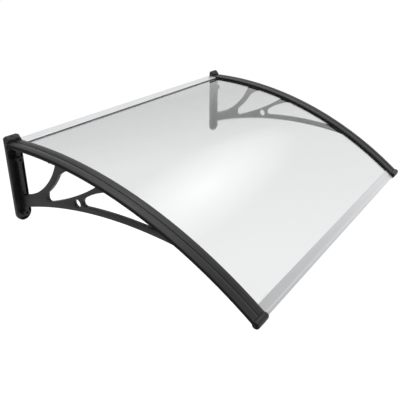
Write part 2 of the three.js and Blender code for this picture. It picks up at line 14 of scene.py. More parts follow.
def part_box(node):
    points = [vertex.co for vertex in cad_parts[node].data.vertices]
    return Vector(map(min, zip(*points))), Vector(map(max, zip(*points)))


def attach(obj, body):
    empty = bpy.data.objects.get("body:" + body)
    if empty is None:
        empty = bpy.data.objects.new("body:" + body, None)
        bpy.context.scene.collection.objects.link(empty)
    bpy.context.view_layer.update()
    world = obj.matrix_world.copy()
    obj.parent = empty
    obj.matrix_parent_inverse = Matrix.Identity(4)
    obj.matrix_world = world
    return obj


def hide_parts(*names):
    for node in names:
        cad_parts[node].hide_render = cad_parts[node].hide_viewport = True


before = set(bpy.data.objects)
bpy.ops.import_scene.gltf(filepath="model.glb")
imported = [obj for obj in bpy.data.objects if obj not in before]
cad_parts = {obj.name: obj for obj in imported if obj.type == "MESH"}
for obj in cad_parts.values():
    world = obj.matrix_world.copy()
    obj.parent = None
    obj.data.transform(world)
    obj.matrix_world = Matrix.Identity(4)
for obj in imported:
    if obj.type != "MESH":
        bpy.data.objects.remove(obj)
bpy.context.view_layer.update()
print("nodes in the frame:", len(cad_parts))

# %% [markdown]
# The roof is one arc. Its radius and crown set the shape of the sheet, the covers, the gaskets and
# the rafters, so they are written once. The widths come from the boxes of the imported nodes.

# %% Driving sizes
MM = 0.001
ROOF_RADIUS = 1150 * MM  # top face of the sheet
CROWN_Y = -33 * MM
CROWN_Z = 4 * MM
BULB_ANGLE = math.radians(37.8)
SHEET = 3 * MM
GAP = 0.3 * MM

OUTER_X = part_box("right_cover_strip")[1].x
INNER_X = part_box("right_cover_strip")[0].x
SHEET_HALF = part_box("roof_sheet")[1].x
POST_X = (OUTER_X + INNER_X) / 2
WEB_X = OUTER_X - 24 * MM
RAFTER = OUTER_X - INNER_X
print("rafter width %.1f mm, sheet half width %.1f mm" % (RAFTER / MM, SHEET_HALF / MM))


def roof_point(angle, height=0.0):
    """(y, z) at an angle from the crown and a height over the sheet's top face."""
    r = ROOF_RADIUS + height
    return CROWN_Y - r * math.sin(angle), CROWN_Z - ROOF_RADIUS + r * math.cos(angle)


def roof_angle(y, height=0.0):
    """Angle from the crown at a distance y from the wall."""
    return math.asin((CROWN_Y - y) / (ROOF_RADIUS + height))


def roof_height(y, height=0.0):
    """z of the roof's arc at a distance y from the wall."""
    return roof_point(roof_angle(y, height), height)[1]


# %% [markdown]
# ## Camera
# The photograph looks down on the canopy from the front left. A camera solved on the rafters' arcs
# and the long straight edges gives this place, this turn and this lens, with no shift.

# %% Camera
CAMERA_PLACE = (-1.27335, -1.12871, 0.45732)
CAMERA_TURN = (64.555, 0.0, -55.82)
CAMERA_LENS = 47.49

camera = bpy.data.objects.new("camera", bpy.data.cameras.new("camera"))
camera.location = CAMERA_PLACE
camera.rotation_euler = [math.radians(a) for a in CAMERA_TURN]
camera.data.lens = CAMERA_LENS
camera.data.sensor_width = 36.0
camera.data.clip_end = 50.0
bpy.context.scene.collection.objects.link(camera)
bpy.context.scene.camera = camera
print("camera lens %.1f mm" % camera.data.lens)

# %% [markdown]
# ## Shared surface effects
# Several finishes need the same things: a fine grain, lines left by a die, and a lighter look where
# an edge has been rubbed. Each is a small shader node group with named inputs. A group puts out
# only values, and the shader itself stays in each material, so that the finish can be exported.

# %% Node helpers


def new_group(name, inputs, outputs, kind="ShaderNodeTree"):
    """Node group with its inputs and outputs. A socket is written as its kind, or as its first value."""
    tree = bpy.data.node_groups.new(name, kind)
    for label, value in inputs.items():
        sort = value if isinstance(value, str) else type(value).__name__.capitalize()
        socket = tree.interface.new_socket(label, in_out="INPUT", socket_type="NodeSocket" + sort)
        if sort != value:
            socket.default_value = value
    for label, sort in outputs.items():
        tree.interface.new_socket(label, in_out="OUTPUT", socket_type="NodeSocket" + sort)
    given = tree.nodes.new("NodeGroupInput").outputs
    result = tree.nodes.new("NodeGroupOutput").inputs
    return tree, given, result


def add_node(tree, kind, settings=None, values=None, links=None):
    """One node: settings are its properties, values its input defaults, links its linked inputs."""
    node = tree.nodes.new(kind)
    for key, value in (settings or {}).items():
        setattr(node, key, value)
    for key, value in (values or {}).items():
        node.inputs[key].default_value = value
    for key, source in (links or {}).items():
        tree.links.new(source, node.inputs[key])
    return node


def math_node(tree, operation, a, b=None):
    """Math node whose operands are numbers or sockets."""
    node = tree.nodes.new("ShaderNodeMath")
    node.operation = operation
    for i, value in enumerate((a, b)):
        if value is None:
            continue
        if isinstance(value, (int, float)):
            node.inputs[i].default_value = value
        else:
            tree.links.new(value, node.inputs[i])
    return node.outputs[0]


# %% Grain, line and edge groups
def make_grain_group():
    """Fine moulded grain: height for a bump, and a slow blotch for colour and roughness."""
    tree, given, result = new_group(
        "moulded_grain", {"Vector": "Vector", "Scale": 900.0, "Blotch Scale": 14.0},
        {"Height": "Float", "Blotch": "Float"})
    fine = add_node(tree, "ShaderNodeTexNoise", values={"Detail": 2.0, "Roughness": 0.6},
                    links={"Vector": given["Vector"], "Scale": given["Scale"]})
    slow = add_node(tree, "ShaderNodeTexNoise", values={"Detail": 3.0, "Roughness": 0.55},
                    links={"Vector": given["Vector"], "Scale": given["Blotch Scale"]})
    tree.links.new(fine.outputs["Fac"], result["Height"])
    tree.links.new(slow.outputs["Fac"], result["Blotch"])
    return tree


def make_line_group():
    """Fine lines along X, as a die leaves them on an extrusion: the noise is stretched along X."""
    tree, given, result = new_group("die_lines", {"Vector": "Vector", "Scale": 700.0, "Stretch": 0.004},
                                    {"Lines": "Float"})
    parts = add_node(tree, "ShaderNodeSeparateXYZ", links={"Vector": given["Vector"]}).outputs
    along = math_node(tree, "MULTIPLY", parts["X"], given["Stretch"])
    squeezed = add_node(tree, "ShaderNodeCombineXYZ", links={"X": along, "Y": parts["Y"], "Z": parts["Z"]})
    noise = add_node(tree, "ShaderNodeTexNoise", values={"Detail": 3.0, "Roughness": 0.7},
                     links={"Vector": squeezed.outputs[0], "Scale": given["Scale"]})
    tree.links.new(noise.outputs["Fac"], result["Lines"])
    return tree


def make_edge_group():
    """Mask of convex edges from the surface's pointiness, broken up by noise, for rubbed edges."""
    tree, given, result = new_group("rubbed_edge", {"Vector": "Vector", "Low": 0.52, "High": 0.62},
                                    {"Mask": "Float"})
    geometry = tree.nodes.new("ShaderNodeNewGeometry")
    noise = add_node(tree, "ShaderNodeTexNoise", values={"Scale": 60.0, "Detail": 3.0},
                     links={"Vector": given["Vector"]})
    ramp = add_node(tree, "ShaderNodeMapRange", links={"Value": geometry.outputs["Pointiness"],
                                                       "From Min": given["Low"], "From Max": given["High"]})
    mask = math_node(tree, "MULTIPLY", ramp.outputs["Result"], noise.outputs["Fac"])
    tree.links.new(mask, result["Mask"])
    return tree


GRAIN = make_grain_group()
LINES = make_line_group()
EDGE = make_edge_group()
print("shader groups:", [g.name for g in (GRAIN, LINES, EDGE)])

# %% [markdown]
# ## Finishes
# The brackets are satin black plastic: near black, with a moulded grain too fine to see as dots,
# which softens the highlight. The upright walls of the covers and of the front caps are rougher and,
# as painted shade, darker than their tops. The sheet is clear with a grey tint, and painted shade
# makes it darkest by the wall, so that white behind it turns pale grey. The rail and the front
# profile are anodised aluminium with lines from the die. The photograph shows the front profile
# greyer at its left end, so painted shade tones it down there.


# %% Materials
def new_material(name, roughness, **plain):
    """Material with a Principled shader; plain holds constant values of its own sockets."""
    material = bpy.data.materials.new(name)
    material.use_nodes = True
    shader = material.node_tree.nodes["Principled BSDF"]
    shader.inputs["Roughness"].default_value = roughness
    for label, value in plain.items():
        shader.inputs[label.replace("_", " ")].default_value = value
    coordinates = material.node_tree.nodes.new("ShaderNodeTexCoord")
    return material, material.node_tree, shader, coordinates.outputs["Object"]


def place_group(tree, group, vector, **values):
    """A shared group placed in a material, on the given coordinates."""
    node = tree.nodes.new("ShaderNodeGroup")
    node.node_tree = group
    tree.links.new(vector, node.inputs["Vector"])
    for label, value in values.items():
        node.inputs[label.replace("_", " ")].default_value = value
    return node


def mix_colours(tree, factor, dark, light):
    """Colour between dark and light, by a value from 0 to 1."""
    node = tree.nodes.new("ShaderNodeMix")
    node.data_type = "RGBA"
    node.inputs[6].default_value = (*dark, 1.0)
    node.inputs[7].default_value = (*light, 1.0)
    tree.links.new(factor, node.inputs[0])
    return node.outputs[2]


def spread(tree, value, low, high):
    """A noise value from 0.3 to 0.7 spread over low to high."""
    node = add_node(tree, "ShaderNodeMapRange", values={"From Min": 0.3, "From Max": 0.7, "To Min": low,
                                                        "To Max": high}, links={"Value": value})
    return node.outputs["Result"]


def bump(tree, shader, height, strength, distance):
    """Bump that feeds the shader's normal."""
    node = add_node(tree, "ShaderNodeBump", values={"Strength": strength, "Distance": distance},
                    links={"Height": height})
    tree.links.new(node.outputs["Normal"], shader.inputs["Normal"])


def plastic(name, dark, light, rough_low, rough_high, **plain):
    """Black moulded plastic with grain, blotches and slightly rubbed edges."""
    material, tree, shader, vector = new_material(name, rough_low, **plain)
    grain = place_group(tree, GRAIN, vector)
    edge = place_group(tree, EDGE, vector)
    base = mix_colours(tree, spread(tree, grain.outputs["Blotch"], 0.0, 1.0), dark, light)
    worn = tree.nodes.new("ShaderNodeMix")
    worn.data_type = "RGBA"
    worn.inputs[7].default_value = (*[2.2 * c for c in light], 1.0)
    tree.links.new(base, worn.inputs[6])
    tree.links.new(edge.outputs["Mask"], worn.inputs[0])
    tree.links.new(worn.outputs[2], shader.inputs["Base Color"])
    tree.links.new(spread(tree, grain.outputs["Blotch"], rough_low, rough_high), shader.inputs["Roughness"])
    bump(tree, shader, grain.outputs["Height"], 0.35, 0.00012)
    return material


PAINTED_SHADE_HALF = 0.45  # the painted shade goes from 0.45 m left of the middle to 0.45 m right of it


def metal(name, dark, light, rough_low, rough_high, left=1.0):
    """Anodised aluminium with die lines along X, and painted shade that darkens it by a factor towards its
    left end.
    """
    material, tree, shader, vector = new_material(name, rough_low, Metallic=1.0)
    lines = place_group(tree, LINES, vector)
    grain = place_group(tree, GRAIN, vector, Scale=1500.0, Blotch_Scale=5.0)
    # Painted shade: the colour is scaled down towards the left end by the factor left.
    parts = add_node(tree, "ShaderNodeSeparateXYZ", links={"Vector": vector})
    along = add_node(tree, "ShaderNodeMapRange", links={"Value": parts.outputs["X"]},
                     values={"From Min": -PAINTED_SHADE_HALF, "From Max": PAINTED_SHADE_HALF, "To Min": left, "To Max": 1.0})
    colour = mix_colours(tree, spread(tree, lines.outputs["Lines"], 0.0, 1.0), dark, light)
    toned = add_node(tree, "ShaderNodeVectorMath", settings={"operation": "SCALE"},
                     links={0: colour, "Scale": along.outputs["Result"]})
    tree.links.new(toned.outputs[0], shader.inputs["Base Color"])
    tree.links.new(spread(tree, grain.outputs["Blotch"], rough_low, rough_high), shader.inputs["Roughness"])
    bump(tree, shader, lines.outputs["Lines"], 0.3, 0.00008)
    return material


PAINTED_SHADE_REACH = -0.7  # the painted shade fades from the wall to here
PAINTED_SHADE_SLANT = 0.25  # painted shade askew: a metre to the right counts as this much towards the wall
TINT_AND_SHADE_STOPS = ((0.07, 0.475), (0.57, 0.69), (1.0, 0.715))  # share of the way forward, and the grey there


def clear_sheet():
    """Clear polycarbonate with a grey tint, and painted shade that makes it darkest by the wall and fades
    towards the front edge.
    """
    material, tree, shader, vector = new_material("clear_polycarbonate", 0.03, IOR=1.58,
                                                  Transmission_Weight=1.0)
    grain = place_group(tree, GRAIN, vector, Scale=180.0, Blotch_Scale=3.0)
    # Painted shade: the base grey is darkest by the wall, a little askew, and lighter forward.
    parts = add_node(tree, "ShaderNodeSeparateXYZ", links={"Vector": vector})
    slant = math_node(tree, "MULTIPLY_ADD", parts.outputs["X"], PAINTED_SHADE_SLANT)
    tree.links.new(parts.outputs["Y"], slant.node.inputs[2])
    forward = add_node(tree, "ShaderNodeMapRange", values={"From Min": 0.0, "From Max": PAINTED_SHADE_REACH},
                       links={"Value": slant})
    tint = add_node(tree, "ShaderNodeValToRGB", links={"Fac": forward.outputs["Result"]})
    tint.color_ramp.elements.new(TINT_AND_SHADE_STOPS[1][0])
    for element, (place, grey) in zip(tint.color_ramp.elements, TINT_AND_SHADE_STOPS):
        element.position = place
        element.color = (grey, grey + 0.005, grey + 0.009, 1.0)
    tree.links.new(tint.outputs["Color"], shader.inputs["Base Color"])
    tree.links.new(spread(tree, grain.outputs["Height"], 0.02, 0.05), shader.inputs["Roughness"])
    return material


BLACK = plastic("satin_black_plastic", (0.010, 0.010, 0.0105), (0.016, 0.016, 0.0165), 0.36, 0.46,
                Specular_IOR_Level=0.28)
# The side black is rougher and darker than the top black; its darker colour is painted shade.
PAINTED_SHADE_SIDE = plastic("painted_shade_black_side", (0.004, 0.004, 0.004), (0.007, 0.007, 0.007), 0.6, 0.7,
               Specular_IOR_Level=0.12)
RUBBER = plastic("dark_rubber", (0.05, 0.05, 0.052), (0.075, 0.075, 0.077), 0.7, 0.85)
STEEL = plastic("black_steel", (0.02, 0.02, 0.022), (0.035, 0.035, 0.037), 0.3, 0.4, Metallic=0.8)
METAL = metal("anodised_aluminium", (0.62, 0.625, 0.635), (0.72, 0.725, 0.735), 0.30, 0.40)
# The front profile's aluminium, toned down towards its left end as painted shade.
EDGE_METAL_PAINTED_SHADE = metal("edge_aluminium_painted_shade", (0.66, 0.665, 0.675), (0.76, 0.765, 0.775), 0.30, 0.40, left=0.66)
CLEAR = clear_sheet()
print("finishes:", [m.name for m in (BLACK, PAINTED_SHADE_SIDE, RUBBER, STEEL, METAL, EDGE_METAL_PAINTED_SHADE, CLEAR)])

# %% [markdown]
# ## Helpers for the pieces
# Two ways of making cover almost the whole canopy. An extrusion is a section pushed along a line,
# like the rail, the covers and the sheet. A flat moulding is an outline with thickness, like the
# web and the post; a 2D curve makes it well, because the curve fills round its holes and rounds
# its own edges. Both come out as closed meshes, so that boolean modifiers can join them.


# %% Mesh helpers
def mesh_object(name, vertices, faces):
    """Mesh object from points and faces, with its normals pointing out."""
    mesh = bpy.data.meshes.new(name)
    mesh.from_pydata(vertices, [], faces)
    thing = bpy.data.objects.new(name, mesh)
    bpy.context.scene.collection.objects.link(thing)
    tidy_mesh(thing)
    return thing


def tidy_mesh(thing, merge=1e-6):
    """Merges doubled points and turns every face outwards."""
    work = bmesh.new()
    work.from_mesh(thing.data)
    bmesh.ops.remove_doubles(work, verts=work.verts, dist=merge)
    bmesh.ops.dissolve_degenerate(work, edges=work.edges, dist=merge)
    bmesh.ops.recalc_face_normals(work, faces=work.faces)
    work.to_mesh(thing.data)
    work.free()


def set_material(thing, *materials):
    """Gives a piece its material slots."""
    thing.data.materials.clear()
    for material in materials:
        thing.data.materials.append(material)


def apply_modifiers(thing):
    """Turns a piece and its modifiers into a plain mesh."""
    depsgraph = bpy.context.evaluated_depsgraph_get()
    mesh = bpy.data.meshes.new_from_object(thing.evaluated_get(depsgraph), preserve_all_data_layers=True,
                                           depsgraph=depsgraph)
    old = thing.data
    thing.modifiers.clear()
    thing.data = mesh
    if old.users == 0:
        bpy.data.meshes.remove(old)


def smooth(thing, degrees=32.0, weighted=True):
    """Smooth shading that stays crisp at edges sharper than the given angle."""
    work = bmesh.new()
    work.from_mesh(thing.data)
    limit = math.radians(degrees)
    for edge in work.edges:
        edge.smooth = len(edge.link_faces) == 2 and edge.calc_face_angle() < limit
    for face in work.faces:
        face.smooth = True
    work.to_mesh(thing.data)
    work.free()
    if weighted:
        modifier = thing.modifiers.new("normals", "WEIGHTED_NORMAL")
        modifier.keep_sharp = True
        apply_modifiers(thing)


def remove_piece(thing):
    """Deletes a helper piece together with its mesh."""
    mesh = thing.data
    bpy.data.objects.remove(thing)
    bpy.data.meshes.remove(mesh)


def boolean(thing, other, operation):
    """Joins or cuts with another closed mesh, which is then removed."""
    modifier = thing.modifiers.new("cut", "BOOLEAN")
    modifier.operation = operation
    modifier.solver = "MANIFOLD"  # it keeps closed meshes closed
    modifier.object = other
    apply_modifiers(thing)
    remove_piece(other)


def rectangle(a0, a1, b0, b1):
    """Corners of a rectangle, in order round it."""
    return [(a0, b0), (a1, b0), (a1, b1), (a0, b1)]


def extrusion(name, section, stations):
    """Closed section of (a, b) points carried through stations, each a function of (a, b)."""
    vertices = [place(a, b) for place in stations for a, b in section]
    n = len(section)
    faces = [tuple(range(n))[::-1], tuple((len(stations) - 1) * n + i for i in range(n))]
    for k in range(len(stations) - 1):
        for i in range(n):
            j = (i + 1) % n
            faces.append((k * n + i, k * n + j, (k + 1) * n + j, (k + 1) * n + i))
    return mesh_object(name, vertices, faces)


def along_x(name, section, start, end):
    """Section of (y, z) points extruded along X."""
    return extrusion(name, section, [lambda a, b, x=x: (x, a, b) for x in (start, end)])


def spaced(start, end, steps):
    """Evenly spaced values from start to end, both included."""
    return [start + (end - start) * k / steps for k in range(steps + 1)]


def height_field(name, xs, ys, height, low):
    """Closed block under a surface: height(x, y) on top of the grid, walls and a floor at low."""
    nx, ny = len(xs), len(ys)
    vertices = [(x, y, height(x, y)) for y in ys for x in xs]
    faces = [(j * nx + i, j * nx + i + 1, (j + 1) * nx + i + 1, (j + 1) * nx + i)
             for j in range(ny - 1) for i in range(nx - 1)]
    rim = list(range(nx)) + [j * nx + nx - 1 for j in range(1, ny)]
    rim += [(ny - 1) * nx + i for i in range(nx - 2, -1, -1)] + [j * nx for j in range(ny - 2, 0, -1)]
    base, n = len(vertices), len(rim)
    vertices += [(vertices[k][0], vertices[k][1], low) for k in rim]
    faces += [(rim[k], rim[(k + 1) % n], base + (k + 1) % n, base + k) for k in range(n)]
    faces.append(tuple(base + k for k in range(n)))
    return mesh_object(name, vertices, faces)


def rounded(points, radius, segments=3):
    """Outline with each corner replaced by an arc-like curve of the given radius."""
    result = []
    n = len(points)
    for i, point in enumerate(points):
        here = Vector(point)
        before = (Vector(points[i - 1]) - here)
        after = (Vector(points[(i + 1) % n]) - here)
        r = radius[i] if isinstance(radius, (list, tuple)) else radius
        r = min(r, before.length * 0.49, after.length * 0.49)
        if r < 1e-6:
            result.append(tuple(here))
            continue
        a = here + before.normalized() * r
        b = here + after.normalized() * r
        for k in range(segments + 1):
            t = k / segments
            result.append(tuple(a * (1 - t) ** 2 + here * (2 * t * (1 - t)) + b * t * t))
    return result


def moulding(name, loops, thickness, edge, place, segments=2):
    """Outline with holes, as a plate with rounded edges. place turns (a, b, depth) into a point."""
    scale = 1000.0  # the curve's fill needs units that are not tiny
    curve = bpy.data.curves.new(name, "CURVE")
    curve.dimensions = "2D"
    curve.fill_mode = "BOTH"
    curve.extrude = scale * (thickness / 2 - edge)
    curve.bevel_depth = scale * edge
    curve.bevel_resolution = segments
    curve.offset = -scale * edge
    for loop in loops:
        spline = curve.splines.new("POLY")
        spline.points.add(len(loop) - 1)
        for point, (a, b) in zip(spline.points, loop):
            point.co = (scale * a, scale * b, 0.0, 1.0)
        spline.use_cyclic_u = True
    thing = bpy.data.objects.new(name, curve)
    bpy.context.scene.collection.objects.link(thing)
    depsgraph = bpy.context.evaluated_depsgraph_get()
    mesh = bpy.data.meshes.new_from_object(thing.evaluated_get(depsgraph))
    bpy.data.objects.remove(thing)
    bpy.data.curves.remove(curve)
    for vertex in mesh.vertices:
        vertex.co = place(*(vertex.co / scale))
    piece = bpy.data.objects.new(name, mesh)
    bpy.context.scene.collection.objects.link(piece)
    tidy_mesh(piece, 2e-6)
    return piece


def mirrored(thing, name):
    """Mirror image about the plane x = 0, as its own mesh with its normals outwards."""
    twin = bpy.data.objects.new(name, thing.data.copy())
    bpy.context.scene.collection.objects.link(twin)
    twin.data.transform(Matrix.Scale(-1, 4, (1, 0, 0)))
    twin.data.flip_normals()
    return twin


def finish_piece(thing, slot, *nodes):
    """Ties a finished piece to the frame: it rides the body and stands for its nodes."""
    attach(thing, "root")
    if nodes:
        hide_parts(*nodes)
    work = bmesh.new()
    work.from_mesh(thing.data)
    loose = sum(1 for e in work.edges if len(e.link_faces) != 2)
    print("%s: %d faces, %d open edges" % (thing.name, len(work.faces), loose))
    work.free()


def finish_pair(thing, name, slot, *replaced):
    """The right piece and its mirror image on the left."""
    twin = mirrored(thing, "left_" + name)
    finish_piece(thing, slot, *["right_" + node for node in replaced])
    finish_piece(twin, slot, *["left_" + node for node in replaced])


# %% [markdown]
# ## The bend, as Geometry Nodes
# The real sheet is cut flat and is bent cold as it is screwed into the brackets. The covers and
# gaskets follow the same arc. So these pieces are made flat here too: x across, -y along the roof
# and z above the sheet's top face. One node tree then bends them all to the roof's radius.


# %% Bend tree
def put_out(tree, geometry, finish, result):
    """Ends a tree: real geometry, in its finish."""
    real = add_node(tree, "GeometryNodeRealizeInstances", links={0: geometry})
    coat = add_node(tree, "GeometryNodeSetMaterial", links={"Geometry": real.outputs[0], "Material": finish})
    tree.links.new(coat.outputs[0], result)


def make_bend_tree():
    """Geometry Nodes tree that rolls a flat piece onto the roof's arc."""
    tree, given, result = new_group(
        "bend_to_roof", {"Geometry": "Geometry", "Roof Radius": ROOF_RADIUS, "Crown Y": CROWN_Y,
                         "Crown Z": CROWN_Z, "Finish": "Material"},
        {"Geometry": "Geometry"}, "GeometryNodeTree")
    place = add_node(tree, "GeometryNodeInputPosition")
    parts = add_node(tree, "ShaderNodeSeparateXYZ", links={0: place.outputs[0]}).outputs
    radius = given["Roof Radius"]
    angle = math_node(tree, "DIVIDE", math_node(tree, "MULTIPLY", parts["Y"], -1.0), radius)
    reach = math_node(tree, "ADD", radius, parts["Z"])
    forward = math_node(tree, "MULTIPLY", reach, math_node(tree, "SINE", angle))
    upward = math_node(tree, "MULTIPLY", reach, math_node(tree, "COSINE", angle))
    y = math_node(tree, "SUBTRACT", given["Crown Y"], forward)
    z = math_node(tree, "ADD", math_node(tree, "SUBTRACT", upward, radius), given["Crown Z"])
    bent = add_node(tree, "ShaderNodeCombineXYZ", links={0: parts["X"], 1: y, 2: z})
    moved = add_node(tree, "GeometryNodeSetPosition", links={"Geometry": given["Geometry"],
                                                             "Position": bent.outputs[0]})
    put_out(tree, moved.outputs[0], given["Finish"], result[0])
    return tree


BEND = make_bend_tree()


def use_tree(thing, tree, values):
    """Runs a tree on a piece with the given inputs, and keeps the result as its mesh."""
    modifier = thing.modifiers.new("shape", "NODES")
    modifier.node_group = tree
    for item in tree.interface.items_tree:
        if item.name in values and item.in_out == "INPUT":
            modifier[item.identifier] = values[item.name]
    apply_modifiers(thing)
    set_material(thing, values["Finish"])


def bend(thing, finish):
    """Bends a flat piece to the roof."""
    use_tree(thing, BEND, {"Finish": finish})


def flat_strip(name, section, start, end, steps):
    """Section of (x, height) points from one angle of the roof to another, laid out flat."""
    stops = [-ROOF_RADIUS * angle for angle in spaced(start, end, steps)]
    return extrusion(name, section, [lambda a, b, y=y: (a, y, b) for y in stops])


print("bend tree:", len(BEND.nodes), "nodes")

# %% [markdown]
# ## The sheet
# A sheet of 3 mm polycarbonate, 966 mm wide. Its section is a thin rectangle whose sawn edges are
# broken by a small radius. It runs from inside the wall rail to inside the front profile, and 96
# steps along the arc keep its highlight smooth.

# %% Roof sheet
REAR_ANGLE = roof_angle(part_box("roof_sheet")[1].y)
FRONT_ANGLE = roof_angle(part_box("roof_sheet")[0].y)
EDGE_BREAK = 0.4 * MM

sheet = flat_strip("roof_sheet_bent", rounded([
    (SHEET_HALF, -SHEET), (SHEET_HALF, 0.0), (-SHEET_HALF, 0.0), (-SHEET_HALF, -SHEET),
], EDGE_BREAK, 2), REAR_ANGLE, FRONT_ANGLE, 96)
bend(sheet, CLEAR)
smooth(sheet)
finish_piece(sheet, "clear_sheet", "roof_sheet")

# %% [markdown]
# ## The cover strips
# Each rafter is closed by a cover with two low lobes and a groove between them. The section is
# drawn once: a lip that hangs down outside, two arcs for the lobes, and a straight underside that
# lies on the gasket. Its upright walls get the second material, a rougher black whose darker colour is
# painted shade.

# %% Cover strips
COVER_BASE = 1.6 * MM
COVER_SHOULDER = 7.2 * MM
COVER_CREST = 8.8 * MM
COVER_LIP = -1.8 * MM
LIP_WIDTH = 2.6 * MM
COVER_EDGE = 1.6 * MM
GROOVE_HALF = 1.4 * MM
GROOVE_FLOOR = 5.6 * MM
LOBE_STEPS = 12


def lobe(start, end):
    """Points of one lobe between two x values, an arc from shoulder to crest and back."""
    return [(start + (end - start) * k / LOBE_STEPS,
             COVER_SHOULDER + (COVER_CREST - COVER_SHOULDER) * math.sin(math.pi * k / LOBE_STEPS) ** 0.8)
            for k in range(LOBE_STEPS + 1)]


def cover_section():
    """Section of the cover in (x, height) points, from the outer lip round over the top."""
    quarter = [(OUTER_X - COVER_EDGE * (1 - math.cos(a)), COVER_SHOULDER - COVER_EDGE * (1 - math.sin(a)))
               for a in spaced(0.0, math.pi / 2, 4)[:-1]]
    outer_lobe = lobe(OUTER_X - COVER_EDGE, POST_X + GROOVE_HALF)
    groove = [(POST_X + GROOVE_HALF * 0.45, GROOVE_FLOOR + 0.2 * MM), (POST_X, GROOVE_FLOOR),
              (POST_X - GROOVE_HALF * 0.45, GROOVE_FLOOR + 0.2 * MM)]
    inner_lobe = lobe(POST_X - GROOVE_HALF, INNER_X + COVER_EDGE)
    inner_edge = [(2 * POST_X - x, h) for x, h in reversed(quarter)]
    below = [(INNER_X, COVER_BASE), (OUTER_X - LIP_WIDTH, COVER_BASE), (OUTER_X - LIP_WIDTH, COVER_LIP),
             (OUTER_X, COVER_LIP)]
    return quarter + outer_lobe + groove + inner_lobe + inner_edge + below


NECK_LENGTH = 26.5 * MM  # of the front cap, from the cover's end to the bulb's middle
COVER_REAR = roof_angle(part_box("right_cover_strip")[1].y)
COVER_FRONT = BULB_ANGLE - (NECK_LENGTH + GAP) / ROOF_RADIUS
cover = flat_strip("right_cover", cover_section(), COVER_REAR, COVER_FRONT, 96)
bend(cover, BLACK)


def darken_sides(thing, limit=0.9):
    """Gives a rafter piece's upright walls, facing along X, the darker and rougher side black: painted shade.
    """
    set_material(thing, BLACK, PAINTED_SHADE_SIDE)
    for polygon in thing.data.polygons:
        if abs(polygon.normal.x) > limit:
            polygon.material_index = 1


# Painted shade: the cover's upright walls take the darker side black.
darken_sides(cover)
smooth(cover)
finish_pair(cover, "cover", "black_plastic", "cover_strip")

# %% [markdown]
# ## The gaskets
# A soft strip lies between the cover and the sheet. Only its edge shows, as a thin dark line.

# %% Edge gaskets
gasket_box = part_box("right_edge_gasket")
GASKET_TOP = GAP + 1.0 * MM
GASKET_EDGE = 0.3 * MM
inner, outer = gasket_box[0].x, gasket_box[1].x
gasket = flat_strip("right_gasket", rounded([
    (outer, GAP), (outer, GASKET_TOP), (inner, GASKET_TOP), (inner, GAP),
], GASKET_EDGE, 2), roof_angle(gasket_box[1].y), COVER_FRONT, 72)
bend(gasket, RUBBER)
smooth(gasket)
finish_pair(gasket, "gasket", "rubber_seal", "edge_gasket")

# %% [markdown]
# ## The brackets
# A bracket is one moulding: the post on the wall, the web with its curved struts, and the channel
# that carries the sheet's edge. The web is an outline with holes, so a 2D curve makes it, with
# rounded edges. The post is a shallow tray with a rim, a rib and two bosses for the wall bolts.
# All of these closed parts are joined by booleans, as the mould joins them.

# %% Web outline
CHANNEL_TOP = -(SHEET + GAP)
CHANNEL_BOTTOM = CHANNEL_TOP - 6 * MM
WEB_THICKNESS = 11 * MM
WEB_EDGE = 1.2 * MM
WEB_TOP = CHANNEL_BOTTOM + 5.5 * MM
OPENING_TOP = CHANNEL_BOTTOM + 1.5 * MM
ARM_RADIUS = 1130 * MM
ARM_CROWN = (-370 * MM, -117.2 * MM)
ARM_THICKNESS = 15.7 * MM
STRUT_REAR = (21 * MM, 58 * MM)
STRUT_REAR_RADIUS = 199 * MM
STRUT_FRONT = (16.4 * MM, 61.8 * MM)
STRUT_FRONT_RADIUS = 215.5 * MM
HOLE_PLACE = (-227 * MM, -106 * MM)
HOLE_RADIUS = 11.5 * MM
POST_FLOOR = 4 * MM
OPENINGS_REAR = -20 * MM
MIDDLE_TIP = -306 * MM
MIDDLE_REAR = -222 * MM
FRONT_REAR = -354 * MM
ELBOW = -246.5 * MM


def arm_height(y, extra=0.0):
    """z of the lower arm's arc at a distance y from the wall."""
    r = ARM_RADIUS + extra
    return ARM_CROWN[1] - ARM_RADIUS + math.sqrt(r * r - (y - ARM_CROWN[0]) ** 2)


def meeting_y(extra, top):
    """Distance from the wall where the arm runs into the rafter."""
    y = ARM_CROWN[0]
    while roof_height(y, top) > arm_height(y, extra):
        y -= MM
    return y


def quadratic(a, bend_point, b, steps=10):
    """Points of a quadratic curve from a to b, without a itself."""
    points = []
    for k in range(1, steps + 1):
        t = k / steps
        points.append(tuple((1 - t) ** 2 * p + 2 * t * (1 - t) * q + t * t * r
                            for p, q, r in zip(a, bend_point, b)))
    return points


def arc_points(centre, radius, start, end, steps):
    """Points of an arc between two angles."""
    return [(centre[0] + radius * math.cos(a), centre[1] + radius * math.sin(a))
            for a in spaced(start, end, steps)]


def roof_run(start, end, steps, top=OPENING_TOP):
    """Points under the rafter from one distance to another."""
    return [(y, roof_height(y, top)) for y in spaced(start, end, steps)]


def web_outline():
    """Outer outline of the web before its openings."""
    end = meeting_y(0.0, WEB_TOP)
    rear = -POST_FLOOR / 2
    under = [(y, arm_height(y)) for y in spaced(rear, end, 60)[:-1]]
    return under + roof_run(end, rear, 60, WEB_TOP)


def rear_opening():
    """Opening next to the post: its front edge is the first strut's arc."""
    centre, radius = STRUT_REAR, STRUT_REAR_RADIUS
    rear = OPENINGS_REAR
    foot = math.atan2(-math.sqrt(radius ** 2 - (rear - centre[0]) ** 2), rear - centre[0])
    y = -190 * MM
    while math.hypot(y - centre[0], roof_height(y, OPENING_TOP) - centre[1]) > radius:
        y += 0.5 * MM
    head = math.atan2(roof_height(y, OPENING_TOP) - centre[1], y - centre[0])
    arc = arc_points(centre, radius, foot, head - (2 * math.pi if head > 0 else 0), 40)
    return arc + roof_run(y, rear, 16)[1:]


